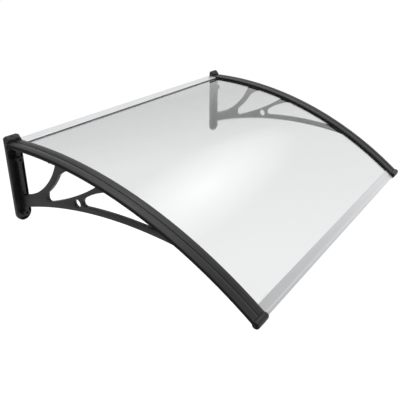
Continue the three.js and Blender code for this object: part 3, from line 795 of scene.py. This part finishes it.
def middle_opening():
    """Opening between the two struts."""
    cy, cz = STRUT_FRONT
    radius = STRUT_FRONT_RADIUS

    def on_strut(y):
        return y, cz - math.sqrt(radius ** 2 - (y - cy) ** 2)
    tip = (MIDDLE_TIP, roof_height(MIDDLE_TIP, OPENING_TOP))
    floor_rear = (-130 * MM, -127 * MM)
    foot, head = on_strut(-119 * MM), on_strut(-170 * MM)
    angles = [math.atan2(p[1] - cz, p[0] - cy) for p in (foot, head)]
    roof_rear = (MIDDLE_REAR, roof_height(MIDDLE_REAR, OPENING_TOP))
    outline = [tip]
    outline += quadratic(tip, (-227 * MM, -93.5 * MM), floor_rear, 20)
    outline += quadratic(floor_rear, (-111 * MM, -133 * MM), foot, 8)
    outline += arc_points(STRUT_FRONT, radius, angles[0], angles[1], 16)[1:]
    outline += quadratic(head, (-189 * MM, -28 * MM), roof_rear, 10)
    return outline + roof_run(MIDDLE_REAR, MIDDLE_TIP, 12)[1:-1]


def front_opening():
    """Long opening between the lower arm and the rafter."""
    tip = meeting_y(ARM_THICKNESS, OPENING_TOP)
    rear = -260 * MM
    under = [(y, arm_height(y, ARM_THICKNESS)) for y in spaced(tip, rear, 40)]
    corner = (ELBOW, -97.5 * MM)
    foot, head = (-262 * MM, -80 * MM), (-322 * MM, -52 * MM)
    roof_rear = (FRONT_REAR, roof_height(FRONT_REAR, OPENING_TOP))
    outline = under
    outline += quadratic(under[-1], (ELBOW, under[-1][1] - 1.5 * MM), corner, 6)
    outline += quadratic(corner, (ELBOW, -88.5 * MM), foot, 6)
    outline += quadratic(foot, (-289 * MM, -62 * MM), head, 8)
    outline += quadratic(head, (-339 * MM, -48 * MM), roof_rear, 6)
    return outline + roof_run(FRONT_REAR, tip, 30)[1:-1]


def circle(centre, radius, steps=32):
    """Closed circle without its doubled last point."""
    return arc_points(centre, radius, 0.0, 2 * math.pi, steps)[:-1]


def at_web(a, b, depth):
    """Plate coordinates to the web's plane."""
    return WEB_X + depth, a, b


loops = [web_outline(), rear_opening(), middle_opening(), front_opening()]
loops.append(circle(HOLE_PLACE, HOLE_RADIUS))
bracket = moulding("right_bracket_moulding", loops, WEB_THICKNESS, WEB_EDGE, at_web, 3)
print("web:", len(bracket.data.polygons), "faces")

# %% Rafter channel
CHANNEL_INSET = 8 * MM
channel_outer = OUTER_X - CHANNEL_INSET
channel_inner = INNER_X + CHANNEL_INSET
LEDGE_X = OUTER_X - 17 * MM + GAP
LEDGE_TOP = COVER_BASE - GAP
CHANNEL_EDGE = 1.0 * MM
CHANNEL_REAR = roof_angle(-4.75 * MM)

channel_section = rounded([
    (channel_outer, CHANNEL_BOTTOM), (channel_outer, LEDGE_TOP), (LEDGE_X, LEDGE_TOP),
    (LEDGE_X, CHANNEL_TOP), (channel_inner, CHANNEL_TOP), (channel_inner, CHANNEL_BOTTOM),
], [CHANNEL_EDGE, 0.3 * MM, 0.3 * MM, 0.0, CHANNEL_EDGE / 2, CHANNEL_EDGE], 3)
channel = flat_strip("channel", channel_section, CHANNEL_REAR, COVER_FRONT, 72)
bend(channel, BLACK)
tidy_mesh(channel)
boolean(bracket, channel, "UNION")

# %% Post
POST_FOOT = -190 * MM
POST_DEPTH = 9.5 * MM
POST_RIM = 3 * MM
POST_HEAD = 5 * MM
POST_EDGE = 0.9 * MM
POST_SPREAD = 1.0 * MM
FLOOR_INSET = 1.2 * MM
FLOOR_EDGE = 0.4 * MM
RIB_DEPTH = 20 * MM


def post_outline(inset, head):
    """Upright post with a round foot, as (x, z) points."""
    half = RAFTER / 2 + POST_SPREAD - inset
    foot = arc_points((POST_X, POST_FOOT), half, math.pi, 2 * math.pi, 32)
    return [(POST_X + half, head), (POST_X - half, head)] + foot


def at_wall(depth_middle):
    """Plate coordinates to an upright plane in front of the wall."""
    return lambda a, b, depth: (a, depth_middle + depth, b)


tray_top = roof_height(-POST_DEPTH, CHANNEL_BOTTOM) - POST_RIM
rim = moulding("rim", [post_outline(0.0, POST_HEAD), post_outline(POST_RIM, tray_top)], POST_DEPTH,
               POST_EDGE, at_wall(-POST_DEPTH / 2), 2)
floor_plate = moulding("post_floor", [post_outline(FLOOR_INSET, POST_HEAD - FLOOR_INSET)],
                       POST_FLOOR - FLOOR_EDGE, FLOOR_EDGE, at_wall(-POST_FLOOR / 2 - 0.1 * MM), 1)
boolean(bracket, rim, "UNION")
boolean(bracket, floor_plate, "UNION")

rib_left, rib_right = WEB_X - WEB_THICKNESS / 2, WEB_X + WEB_THICKNESS / 2
rib_section = rounded([(rib_left, -POST_FLOOR / 2), (rib_left, -RIB_DEPTH), (rib_right, -RIB_DEPTH),
                       (rib_right, -POST_FLOOR / 2)], [0.0, WEB_EDGE, WEB_EDGE, 0.0], 4)
rib = extrusion("rib", rib_section, [lambda a, b, z=z: (a, b, z)
                                     for z in (POST_FOOT, tray_top + POST_RIM - 0.5 * MM)])
boolean(bracket, rib, "UNION")

# %% Bosses and bolt holes
BOSS_RADIUS = 9 * MM
BOLT_HOLE = 4 * MM
BOSSES = ((-35.7 * MM, 27.5 * MM), (POST_FOOT, 21 * MM))  # height, and reach from the wall

for height, reach in BOSSES:
    boss = moulding("boss", [circle((POST_X, height), BOSS_RADIUS, 40)], reach - POST_FLOOR / 2, 1.0 * MM,
                    at_wall(-(reach + POST_FLOOR / 2) / 2), 3)
    boolean(bracket, boss, "UNION")
for height, reach in BOSSES:
    drill = moulding("drill", [circle((POST_X, height), BOLT_HOLE, 32)], reach + 10 * MM, 0.1 * MM,
                     at_wall(-reach / 2), 1)
    boolean(bracket, drill, "DIFFERENCE")

# %% [markdown]
# A tongue on the post's head reaches up into the post cap. The wall rail's back plate runs on into
# the bracket and into the cap, so both are cut by the same recess.

# %% Tongue and rail recess
TONGUE_HALF = 16.5 * MM
TONGUE_TOP = 15 * MM
TONGUE_THICKNESS = 6 * MM
TONGUE_EDGE = 0.5 * MM
RAIL_HALF = 10.25 * MM
RAIL_TOP = 12.75 * MM
RAIL_WALL = 2 * MM

tongue_outline = rectangle(POST_X - TONGUE_HALF, POST_X + TONGUE_HALF, POST_HEAD - 2 * MM, TONGUE_TOP)
tongue = moulding("tongue", [rounded(tongue_outline, TONGUE_EDGE)], TONGUE_THICKNESS, TONGUE_EDGE,
                  at_wall(-POST_DEPTH / 2), 1)
boolean(bracket, tongue, "UNION")

rail_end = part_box("wall_rail")[1].x


def rail_recess():
    """Cutter for the end of the wall rail's back plate."""
    low, high, deep = -RAIL_HALF - GAP, RAIL_TOP + GAP, -RAIL_WALL - GAP
    section = [(5 * MM, low), (5 * MM, high), (deep, high), (deep, low)]
    return along_x("recess", section, INNER_X - 5 * MM, rail_end + GAP)


boolean(bracket, rail_recess(), "DIFFERENCE")
set_material(bracket, BLACK)
tidy_mesh(bracket)
smooth(bracket)

# %% [markdown]
# ## Screws under the covers
# Four screws hold each cover from below. They repeat at even steps along the arc, so Geometry Nodes
# sets them: points along the arc, turned to the roof's slope, with one screw on each. The holes
# in the channel are cut with the same tree, fed with a plain pin in place of the screw.

# %% Screw
SCREW_X = OUTER_X - 12.5 * MM
SCREW_FIRST = COVER_REAR + 140 * MM / ROOF_RADIUS
SCREW_LAST = COVER_FRONT - 70 * MM / ROOF_RADIUS  # these two are angles of the roof
SCREW_COUNT = 4
COVER_SCREW = 14.0  # length in mm
SCREW_HOLE = 2.05 * MM
SCREW_POINT = 2.5  # mm
THREAD_ROOT, THREAD_CREST, THREAD_PITCH = 1.35, 1.75, 1.3  # mm


def turned(name, outline, steps=24):
    """Outline of (radius, height) points turned about Z, from axis to axis."""
    vertices = [(0.0, 0.0, outline[0][1])]
    for r, h in outline[1:-1]:
        vertices += [(r * math.cos(2 * math.pi * k / steps), r * math.sin(2 * math.pi * k / steps), h)
                     for k in range(steps)]
    vertices.append((0.0, 0.0, outline[-1][1]))
    rings = len(outline) - 2
    faces = [(0, 1 + (k + 1) % steps, 1 + k) for k in range(steps)]
    for ring in range(rings - 1):
        a, b = 1 + ring * steps, 1 + (ring + 1) * steps
        faces += [(a + k, a + (k + 1) % steps, b + (k + 1) % steps, b + k) for k in range(steps)]
    last = 1 + (rings - 1) * steps
    top = len(vertices) - 1
    faces += [(last + k, last + (k + 1) % steps, top) for k in range(steps)]
    return mesh_object(name, vertices, faces)


def screw(name, length):
    """Pan-head screw along +Z with its seat at z = 0, a cross recess and rings for its thread."""
    head = [(0.0, -2.4), (1.6, -2.4), (2.7, -2.2), (3.4, -1.6), (3.75, -0.8), (3.75, -0.15), (3.6, 0.0)]
    shank = [(THREAD_CREST, 0.0)]
    z = 0.8
    while z + THREAD_PITCH < length - SCREW_POINT:
        shank += [(THREAD_ROOT, z), (THREAD_CREST, z + THREAD_PITCH * 0.42),
                  (THREAD_CREST, z + THREAD_PITCH * 0.52), (THREAD_ROOT, z + THREAD_PITCH * 0.9)]
        z += THREAD_PITCH
    outline = head + shank + [(1.3, length - SCREW_POINT), (0.5, length - 0.6), (0.0, length)]
    thing = turned(name, [(r * MM, h * MM) for r, h in outline])
    half_length, half_width = 1.7 * MM, 0.42 * MM
    for turn in (0.0, math.pi / 2):
        slot = extrusion("slot", rectangle(-half_length, half_length, -half_width, half_width),
                         [lambda a, b, z=z: (a, b, z) for z in (-3 * MM, -1.3 * MM)])
        slot.data.transform(Matrix.Rotation(turn, 4, "Z"))
        boolean(thing, slot, "DIFFERENCE")
    set_material(thing, STEEL)
    return thing


# %% Screw row tree
def make_row_tree():
    """Geometry Nodes tree that sets a piece at even steps along the roof's arc, under the channel."""
    tree, get, result = new_group(
        "row_on_roof", {"Geometry": "Geometry", "Piece": "Object", "Count": SCREW_COUNT,
                        "Radius": ROOF_RADIUS, "First Angle": 0.1, "Last Angle": 0.5, "X": 0.4,
                        "Crown Y": CROWN_Y, "Centre Z": CROWN_Z - ROOF_RADIUS, "Finish": "Material"},
        {"Geometry": "Geometry"}, "GeometryNodeTree")
    index = add_node(tree, "GeometryNodeInputIndex").outputs[0]
    share = math_node(tree, "DIVIDE", index, math_node(tree, "SUBTRACT", get["Count"], 1.0))
    span = math_node(tree, "SUBTRACT", get["Last Angle"], get["First Angle"])
    angle = math_node(tree, "ADD", get["First Angle"], math_node(tree, "MULTIPLY", span, share))
    y = math_node(tree, "SUBTRACT", get["Crown Y"],
                  math_node(tree, "MULTIPLY", get["Radius"], math_node(tree, "SINE", angle)))
    z = math_node(tree, "ADD", get["Centre Z"],
                  math_node(tree, "MULTIPLY", get["Radius"], math_node(tree, "COSINE", angle)))
    place = add_node(tree, "ShaderNodeCombineXYZ", links={0: get["X"], 1: y, 2: z})
    points = add_node(tree, "GeometryNodePoints", links={"Count": get["Count"],
                                                         "Position": place.outputs[0]})
    piece = add_node(tree, "GeometryNodeObjectInfo", links={"Object": get["Piece"]})
    turn = add_node(tree, "ShaderNodeCombineXYZ", links={0: angle})
    rows = add_node(tree, "GeometryNodeInstanceOnPoints",
                    links={"Points": points.outputs[0], "Instance": piece.outputs["Geometry"],
                           "Rotation": turn.outputs[0]})
    put_out(tree, rows.outputs[0], get["Finish"], result[0])
    return tree


ROW = make_row_tree()


def row(name, piece, finish):
    """The piece set once for each screw along the right rafter, as one plain mesh."""
    holder = bpy.data.objects.new(name, bpy.data.meshes.new(name))
    bpy.context.scene.collection.objects.link(holder)
    use_tree(holder, ROW, {"Piece": piece, "Count": SCREW_COUNT, "Radius": ROOF_RADIUS + CHANNEL_BOTTOM - GAP,
                           "First Angle": SCREW_FIRST, "Last Angle": SCREW_LAST, "X": SCREW_X,
                           "Finish": finish})
    remove_piece(piece)
    return holder


PIN_START, PIN_END = -5 * MM, COVER_SCREW * MM + GAP  # longer than the screw at both ends
pins = row("pins", turned("pin", [(0.0, PIN_START), (SCREW_HOLE, PIN_START), (SCREW_HOLE, PIN_END),
                                  (0.0, PIN_END)]), STEEL)
tidy_mesh(pins)
boolean(bracket, pins, "DIFFERENCE")
set_material(bracket, BLACK)
finish_pair(bracket, "bracket_moulding", "black_plastic", "bracket")

screws = row("right_cover_screws", screw("screw", COVER_SCREW), STEEL)
smooth(screws, 40, weighted=False)
finish_pair(screws, "cover_screws", "screw_steel", *["cover_screw_%d" % k for k in range(1, SCREW_COUNT + 1)])

# %% [markdown]
# ## The post caps
# A cap closes the top of each post. Its top is a plateau with lower ends, and its front slopes down
# over two low bumps with a dimple between them, which catch the light in the photograph. A grid
# whose height follows this makes the top, and straight walls close it below.

# %% Post caps
cap_low, cap_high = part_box("right_post_cap")
CAP_TOP = 27.2 * MM
CAP_SHOULDER = 24.2 * MM
CAP_SHOULDER_WIDTH = 8 * MM
CAP_SLOPE = 7.5 * MM
CAP_LEDGE = 3.5 * MM
CAP_DIMPLE = 2.2 * MM
CAP_EDGE = 1.4 * MM


def clamp(t):
    """A value held between 0 and 1."""
    return min(1.0, max(0.0, t))


def ease(t):
    """Smooth step from 0 to 1."""
    t = clamp(t)
    return t * t * (3 - 2 * t)


def cap_height(x, y):
    """Top of the cap: a plateau with lower ends, a sloping front and a dimple between two bumps."""
    across = abs(x - POST_X)
    half = (cap_high.x - cap_low.x) / 2
    top = CAP_SHOULDER + (CAP_TOP - CAP_SHOULDER) * ease((half - across) / CAP_SHOULDER_WIDTH)
    forward = clamp((-y - CAP_LEDGE) / (-cap_low.y - CAP_LEDGE))
    lobe_half = RAFTER / 4
    bump = math.cos(math.pi * (across / lobe_half - 1)) * 0.5 + 0.5 if across < 2 * lobe_half else 0.0
    return top - CAP_SLOPE * forward ** 1.4 - CAP_DIMPLE * ease(forward * 1.6) * (1 - bump)


cap = height_field("right_post_hood", spaced(cap_low.x, cap_high.x, 48), spaced(cap_high.y, cap_low.y, 16),
                   cap_height, cap_low.z)
modifier = cap.modifiers.new("edges", "BEVEL")
modifier.width = CAP_EDGE
modifier.segments = 3
modifier.limit_method = "ANGLE"
modifier.angle_limit = math.radians(50)
apply_modifiers(cap)
boolean(cap, rail_recess(), "DIFFERENCE")
set_material(cap, BLACK)
smooth(cap)
finish_pair(cap, "post_hood", "black_plastic", "post_cap")

# %% [markdown]
# ## The front caps
# The rafter ends in a rounded bulb. Before it the two lobes run out in rounded tips, then comes a
# flat band and a narrow groove. The neck is a height field over the flat layout, bent with the
# roof. The bulb is a round bar along X, with a rounding at each end and a slight crown. A second
# bar under it encloses the end of the profile's nose.

# %% Front caps
NECK_START = BULB_ANGLE - NECK_LENGTH / ROOF_RADIUS
NECK_OVERRUN = 1.06  # the neck goes on a little, into the bulb
BAND_DROP = 2.2 * MM
BULB_RADIUS = 9.8 * MM
BULB_CROWN = 0.5 * MM
BULB_ROUNDINGS = (3.0 * MM, 2.4 * MM)
BULB_RISE = 2.5 * MM
LOBE_END = 13.0 * MM
LOBE_TIP = 7 * MM
LOBE_BLEND = 3 * MM
BAND_END = 23.0 * MM
BAND_EASE = 3.5 * MM
PROFILE_WALL = 1.8 * MM
NOSE_RADIUS = 6.5 * MM
NOSE_HEIGHT = -SHEET / 2 - PROFILE_WALL
HOOD_LENGTH = 40.0 * MM
HOOD_ROUNDINGS = (2.0 * MM, 6.0 * MM)


def section_height(x):
    """Height of the cover's top over the sheet at x."""
    points = sorted(p for p in cover_section() if p[1] > COVER_BASE + MM)
    for (x0, h0), (x1, h1) in zip(points, points[1:]):
        if x0 <= x <= x1:
            return h0 + (h1 - h0) * (x - x0) / max(x1 - x0, 1e-9)
    return points[0][1] if x < points[0][0] else points[-1][1]


def neck_height(x, s):
    """Height of the neck's top, s metres in front of the cover's end."""
    full = section_height(x)
    half = RAFTER / 4
    across = min(abs(x - POST_X - half), abs(x - POST_X + half)) / half
    tip = LOBE_END + LOBE_TIP * math.sqrt(max(0.0, 1 - across * across))
    flat = min(full, COVER_SHOULDER - 0.3 * MM)
    height = full + (flat - full) * ease((s - tip + LOBE_BLEND) / LOBE_BLEND)
    return height - BAND_DROP * clamp((s - BAND_END) / BAND_EASE) ** 1.5


def front_neck():
    """Closed neck of the front cap in the flat layout."""
    xs = sorted({round(x, 6) for x, h in cover_section() if h > COVER_BASE + MM})
    xs = [x for k, x in enumerate(xs) if k == 0 or x - xs[k - 1] > 1e-5]
    start = -ROOF_RADIUS * NECK_START
    ys = [start - s for s in spaced(0.0, NECK_LENGTH * NECK_OVERRUN, 36)]
    return height_field("right_front_end", xs, ys, lambda x, y: neck_height(x, start - y), COVER_LIP)


def round_bar(radius, length, roundings, crown=0.0, last_steps=8):
    """(radius, x) outline of a bar with a rounding of its own at each end and a crown between."""
    inner, outer = roundings
    quarter = math.pi / 2
    near = [(radius - inner * (1 - math.sin(a)), inner * (1 - math.cos(a))) for a in spaced(0, quarter, 8)]
    middle = [(radius + crown * math.sin(math.pi * t), inner + (length - inner - outer) * t)
              for t in spaced(0, 1, 12)[1:-1] if crown]
    far = [(radius - outer * (1 - math.cos(a)), length - outer * (1 - math.sin(a)))
           for a in spaced(0, quarter, last_steps)]
    return [(0.0, 0.0)] + near + middle + far + [(0.0, length)]


def turned_about_x(name, outline, y, z):
    """(radius, x) outline turned about a line along X that starts at the rafter's inner side."""
    thing = turned(name, outline, 64)
    thing.data.transform(Matrix.Rotation(math.pi / 2, 4, "Y"))
    thing.data.transform(Matrix.Translation((INNER_X, y, z)))
    return thing


end = front_neck()
bend(end, BLACK)
tidy_mesh(end)
under = flat_strip("under_neck", rounded([
    (channel_outer, CHANNEL_BOTTOM + 0.5 * MM), (channel_outer, COVER_BASE),
    (channel_inner, COVER_BASE), (channel_inner, CHANNEL_BOTTOM + 0.5 * MM),
], CHANNEL_EDGE), NECK_START, BULB_ANGLE, 12)
bend(under, BLACK)
tidy_mesh(under)
boolean(end, under, "UNION")
bulb_outline = round_bar(BULB_RADIUS - BULB_CROWN, RAFTER, BULB_ROUNDINGS, BULB_CROWN, 6)
boolean(end, turned_about_x("bulb", bulb_outline, *roof_point(BULB_ANGLE, BULB_RISE)), "UNION")
nose_y, nose_z = roof_point(BULB_ANGLE, NOSE_HEIGHT)
hood_outline = round_bar(NOSE_RADIUS + GAP + PROFILE_WALL, HOOD_LENGTH, HOOD_ROUNDINGS)
boolean(end, turned_about_x("nose_hood", hood_outline, nose_y, nose_z), "UNION")

# %% [markdown]
# ## The front profile
# An aluminium extrusion grips the sheet's front edge. Its section is two thin flanges and a round,
# hollow nose that stands a little higher, so that a bright line runs where they meet. It runs into
# a socket in each front cap, and the same section with a little room cuts that socket.

# %% Front profile
PROFILE_FLANGE = 19 * MM
SLOT_ANGLE = 0.04
PORT_RADIUS = 3.25 * MM
PORT_RIB_HALF = 0.6 * MM
PORT_RIB_LENGTH = 6 * MM


def profile_section(room=0.0):
    """Outer section of the front profile, as flat (-distance, height) points turned to (y, z)."""
    top = GAP + PROFILE_WALL + room
    low = -SHEET - GAP - PROFILE_WALL - room
    start = ROOF_RADIUS * BULB_ANGLE - PROFILE_FLANGE - NOSE_RADIUS - room
    nose = ROOF_RADIUS * BULB_ANGLE
    r = NOSE_RADIUS + room
    flat = [(start, low), (start, top)]
    join = math.asin(min(1.0, (top - NOSE_HEIGHT) / r))
    nose_back = nose - r * math.cos(join)
    flat += [(nose_back - 3.2 * MM, top), (nose_back - 1.6 * MM, top - 0.05 * MM)]
    flat += [(nose + r * math.cos(a), NOSE_HEIGHT + r * math.sin(a))
             for a in spaced(math.pi - join - 0.02, -math.pi + join + 0.32, 40)
             if NOSE_HEIGHT + r * math.sin(a) > low or a < 0]
    flat.append((nose - r * 0.8, low))
    return [roof_point(s / ROOF_RADIUS, h) for s, h in flat]


def roof_ring(start, end, top, low):
    """Ring of (y, z) points between two angles and two heights of the roof."""
    angles = spaced(start, end, 8)
    return [roof_point(a, top) for a in angles] + [roof_point(a, low) for a in angles[::-1]]


def profile():
    """Front profile with its slot for the sheet, its hollow nose and the screw port."""
    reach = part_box("front_profile")[1].x
    past = reach + 5 * MM  # a cut goes past both ends, and a part of a cutter goes past the cutter
    beyond = reach + 6 * MM
    body = along_x("front_edge_profile", profile_section(), -reach, reach)
    slot_end = BULB_ANGLE - (NOSE_RADIUS + PROFILE_WALL) / ROOF_RADIUS
    slot = roof_ring(slot_end - SLOT_ANGLE, slot_end, GAP, -SHEET - GAP)
    boolean(body, along_x("slot", slot, -past, past), "DIFFERENCE")
    y, z = roof_point(BULB_ANGLE, NOSE_HEIGHT)
    hollow = along_x("hollow", circle((y, z), NOSE_RADIUS - PROFILE_WALL, 40), -past, past)
    port = along_x("port", circle((y, z), PORT_RADIUS, 32), -beyond, beyond)
    web = along_x("port_rib", [(y, z - PORT_RIB_HALF), (y, z + PORT_RIB_HALF),
                               (y - PORT_RIB_LENGTH, z + PORT_RIB_HALF),
                               (y - PORT_RIB_LENGTH, z - PORT_RIB_HALF)], -beyond, beyond)
    boolean(port, web, "UNION")
    boolean(hollow, port, "DIFFERENCE")
    boolean(body, hollow, "DIFFERENCE")
    boolean(body, along_x("hole", circle((y, z), SCREW_HOLE, 24), -past, past), "DIFFERENCE")
    set_material(body, EDGE_METAL_PAINTED_SHADE)
    smooth(body, 28)
    return body


finish_piece(profile(), "aluminium", "front_profile")

# %% [markdown]
# Now the front cap gets its cuts: the profile's socket, room for the sheet, and the screw's hole
# with a sink for its head.

# %% Cuts in the front cap
SOCKET_DEPTH = 14 * MM
HEAD_DEPTH = 2.4 * MM
SINK_RADIUS = 4.05 * MM
inside, outside = INNER_X - 5 * MM, OUTER_X + 5 * MM
sheet_slot = roof_ring(NECK_START - SLOT_ANGLE / 2, NECK_START + SLOT_ANGLE / 2, COVER_BASE, CHANNEL_TOP)
cuts = [("socket", profile_section(GAP), inside, INNER_X + SOCKET_DEPTH + GAP),
        ("sheet_slot", sheet_slot, inside, LEDGE_X),
        ("shaft", circle((nose_y, nose_z), SCREW_HOLE, 24), INNER_X, outside),
        ("sink", circle((nose_y, nose_z), SINK_RADIUS, 32), OUTER_X - HEAD_DEPTH - GAP, outside)]
for cut in cuts:
    boolean(end, along_x(*cut), "DIFFERENCE")
# Painted shade: the front cap's upright walls, the bulb's flat ends among them, take the darker side black.
darken_sides(end, 0.97)
smooth(end)
finish_pair(end, "front_end", "black_plastic", "front_cap")

# %% [markdown]
# ## Cap screws
# One screw goes through each front cap into the profile's port. Only its head shows, sunk into
# the bulb's outer end.

# %% Cap screws
CAP_SCREW = 38.6  # length in mm
cap_screw = screw("right_end_screw", CAP_SCREW)
cap_screw.data.transform(Matrix.Rotation(-math.pi / 2, 4, "Y"))
cap_screw.data.transform(Matrix.Translation((OUTER_X - HEAD_DEPTH, nose_y, nose_z)))
smooth(cap_screw, 40, weighted=False)
finish_pair(cap_screw, "end_screw", "screw_steel", "cap_screw")

# %% [markdown]
# ## Wall rail and its seal
# The rail is a U-shaped extrusion that lies on the wall and holds the sheet's rear edge. A soft seal
# under the front edge of its upper flange shows as the dark line across the back of the roof. The
# flanges stop between the brackets, and only the back plate goes on into them.

# %% Wall rail
RAIL_REACH = 29.5 * MM
RAIL_LOWER = 22 * MM
FLANGE_LOW = roof_height(-RAIL_REACH) + 2 * MM + 2 * GAP
LOWER_TOP = roof_height(-RAIL_LOWER, CHANNEL_TOP)
FLANGE_PLAY = 1.3 * MM
CLEAR_HALF, CLEAR_REACH = 20 * MM, 40 * MM  # of the block that cuts the flanges' ends off


def rail_section():
    """Section of the rail in (y, z), corners rounded as a die leaves them."""
    points = [
        (0.0, -RAIL_HALF), (0.0, RAIL_TOP), (-RAIL_WALL, RAIL_TOP),
        (-RAIL_REACH, FLANGE_LOW + RAIL_WALL), (-RAIL_REACH, FLANGE_LOW), (-RAIL_WALL, FLANGE_LOW),
        (-RAIL_WALL, LOWER_TOP), (-RAIL_LOWER, LOWER_TOP), (-RAIL_LOWER, LOWER_TOP - RAIL_WALL),
        (-RAIL_WALL, LOWER_TOP - RAIL_WALL), (-RAIL_WALL, -RAIL_HALF),
    ]
    radii = [0.3, 0.8, 2.0, 0.8, 0.4, 0.3, 0.3, 0.5, 0.5, 0.3, 0.3]
    return rounded(points, [r * MM for r in radii], 4)


rail = along_x("rear_wall_rail", rail_section(), -rail_end, rail_end)
for side in (-1, 1):
    near, far = side * (INNER_X - FLANGE_PLAY), side * (rail_end + 5 * MM)
    block = along_x("flange_end", [(-RAIL_WALL, -CLEAR_HALF), (-RAIL_WALL, CLEAR_HALF),
                                   (-CLEAR_REACH, CLEAR_HALF), (-CLEAR_REACH, -CLEAR_HALF)],
                    min(near, far), max(near, far))
    boolean(rail, block, "DIFFERENCE")
set_material(rail, METAL)
smooth(rail, 28)
finish_piece(rail, "aluminium", "wall_rail")

# %% Rail seal
seal_low, seal_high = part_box("rail_seal")
SEAL_UNDER = 3.5 * MM  # of the seal lies under the flange
SEAL_LIP = 0.7 * MM
SEAL_EDGE = 0.35 * MM
seal_back = -RAIL_REACH - GAP + SEAL_UNDER
seal_front = seal_back - (seal_high.y - seal_low.y + 0.8 * MM)
seal_section = rounded([
    (seal_back, seal_low.z), (seal_back, seal_high.z), (-RAIL_REACH - GAP, seal_high.z),
    (seal_front, seal_low.z + SEAL_LIP), (seal_front, seal_low.z),
], SEAL_EDGE, 3)
seal = along_x("rear_rail_seal", seal_section, seal_low.x, seal_high.x)
set_material(seal, RUBBER)
smooth(seal)
finish_piece(seal, "rubber_seal", "rail_seal")

# %% [markdown]
# ## Floor, background and light
# The photograph has a white background. A pale floor lies well below the canopy, which hangs on a
# wall, and keeps its soft shadow. The world is white to the camera, to gloss and to clear sheets,
# and a softer grey to everything else, so that colours render about as they are written. Two soft
# boxes light the canopy from above and from the front. A third one, weak and narrow, stands where
# the sheet mirrors it to the camera, and lays the soft sheen over the sheet.

# %% Floor and light
FLOOR_Z = -1.1
FLOOR_HALF = 30.0
FLOOR_GLOW = 0.62
SOFT_WORLD = 0.45


def seen_rays(tree):
    """1 for rays that see the background directly, in gloss or through the sheet, else 0."""
    path = tree.nodes.new("ShaderNodeLightPath")
    mirrored_or_clear = math_node(tree, "MAXIMUM", path.outputs["Is Glossy Ray"],
                                  path.outputs["Is Transmission Ray"])
    return math_node(tree, "MAXIMUM", path.outputs["Is Camera Ray"], mirrored_or_clear)


def make_floor():
    """Large pale floor that shows as white and still takes a soft shadow."""
    corners = [(x, y, FLOOR_Z) for x, y in rectangle(-FLOOR_HALF, FLOOR_HALF, -FLOOR_HALF, FLOOR_HALF)]
    floor = mesh_object("studio_floor", corners, [(0, 1, 2, 3)])
    material = bpy.data.materials.new("pale_floor")
    material.use_nodes = True
    tree = material.node_tree
    shader = tree.nodes["Principled BSDF"]
    shader.inputs["Base Color"].default_value = (0.85, 0.85, 0.85, 1.0)
    shader.inputs["Roughness"].default_value = 0.9
    shader.inputs["Specular IOR Level"].default_value = 0.0
    shader.inputs["Emission Color"].default_value = (1.0, 1.0, 1.0, 1.0)
    glow = math_node(tree, "MULTIPLY", seen_rays(tree), FLOOR_GLOW)
    tree.links.new(glow, shader.inputs["Emission Strength"])
    set_material(floor, material)


def make_world(soft):
    """White where it is seen directly, in gloss or through the sheet; soft grey as light."""
    world = bpy.data.worlds.new("studio")
    bpy.context.scene.world = world
    world.use_nodes = True
    tree = world.node_tree
    background = tree.nodes["Background"]
    strength = math_node(tree, "ADD", soft, math_node(tree, "MULTIPLY", seen_rays(tree), 1.0 - soft))
    background.inputs["Color"].default_value = (1.0, 1.0, 1.0, 1.0)
    tree.links.new(strength, background.inputs["Strength"])


def soft_lamp(name, place, target, size, watts, spread_angle=180.0):
    """Square area lamp that faces a target; a small spread keeps its light together."""
    lamp = bpy.data.lights.new(name, "AREA")
    lamp.size = size
    lamp.spread = math.radians(spread_angle)
    lamp.energy = watts
    thing = bpy.data.objects.new(name, lamp)
    thing.location = place
    thing.rotation_euler = (Vector(target) - Vector(place)).to_track_quat("-Z", "Y").to_euler()
    bpy.context.scene.collection.objects.link(thing)


make_floor()
make_world(SOFT_WORLD)
soft_lamp("top_softbox", (0.4, -0.2, 2.2), (0, -0.35, 0), 1.6, 22.0)
soft_lamp("front_softbox", (-0.6, -2.6, 1.2), (0, -0.35, -0.1), 1.4, 12.0)
soft_lamp("sheen_softbox", (1.366, -0.286, 1.354), (-0.292, -0.464, -0.08), 1.5, 0.15, 24.0)
bpy.context.scene.view_settings.view_transform = "Standard"
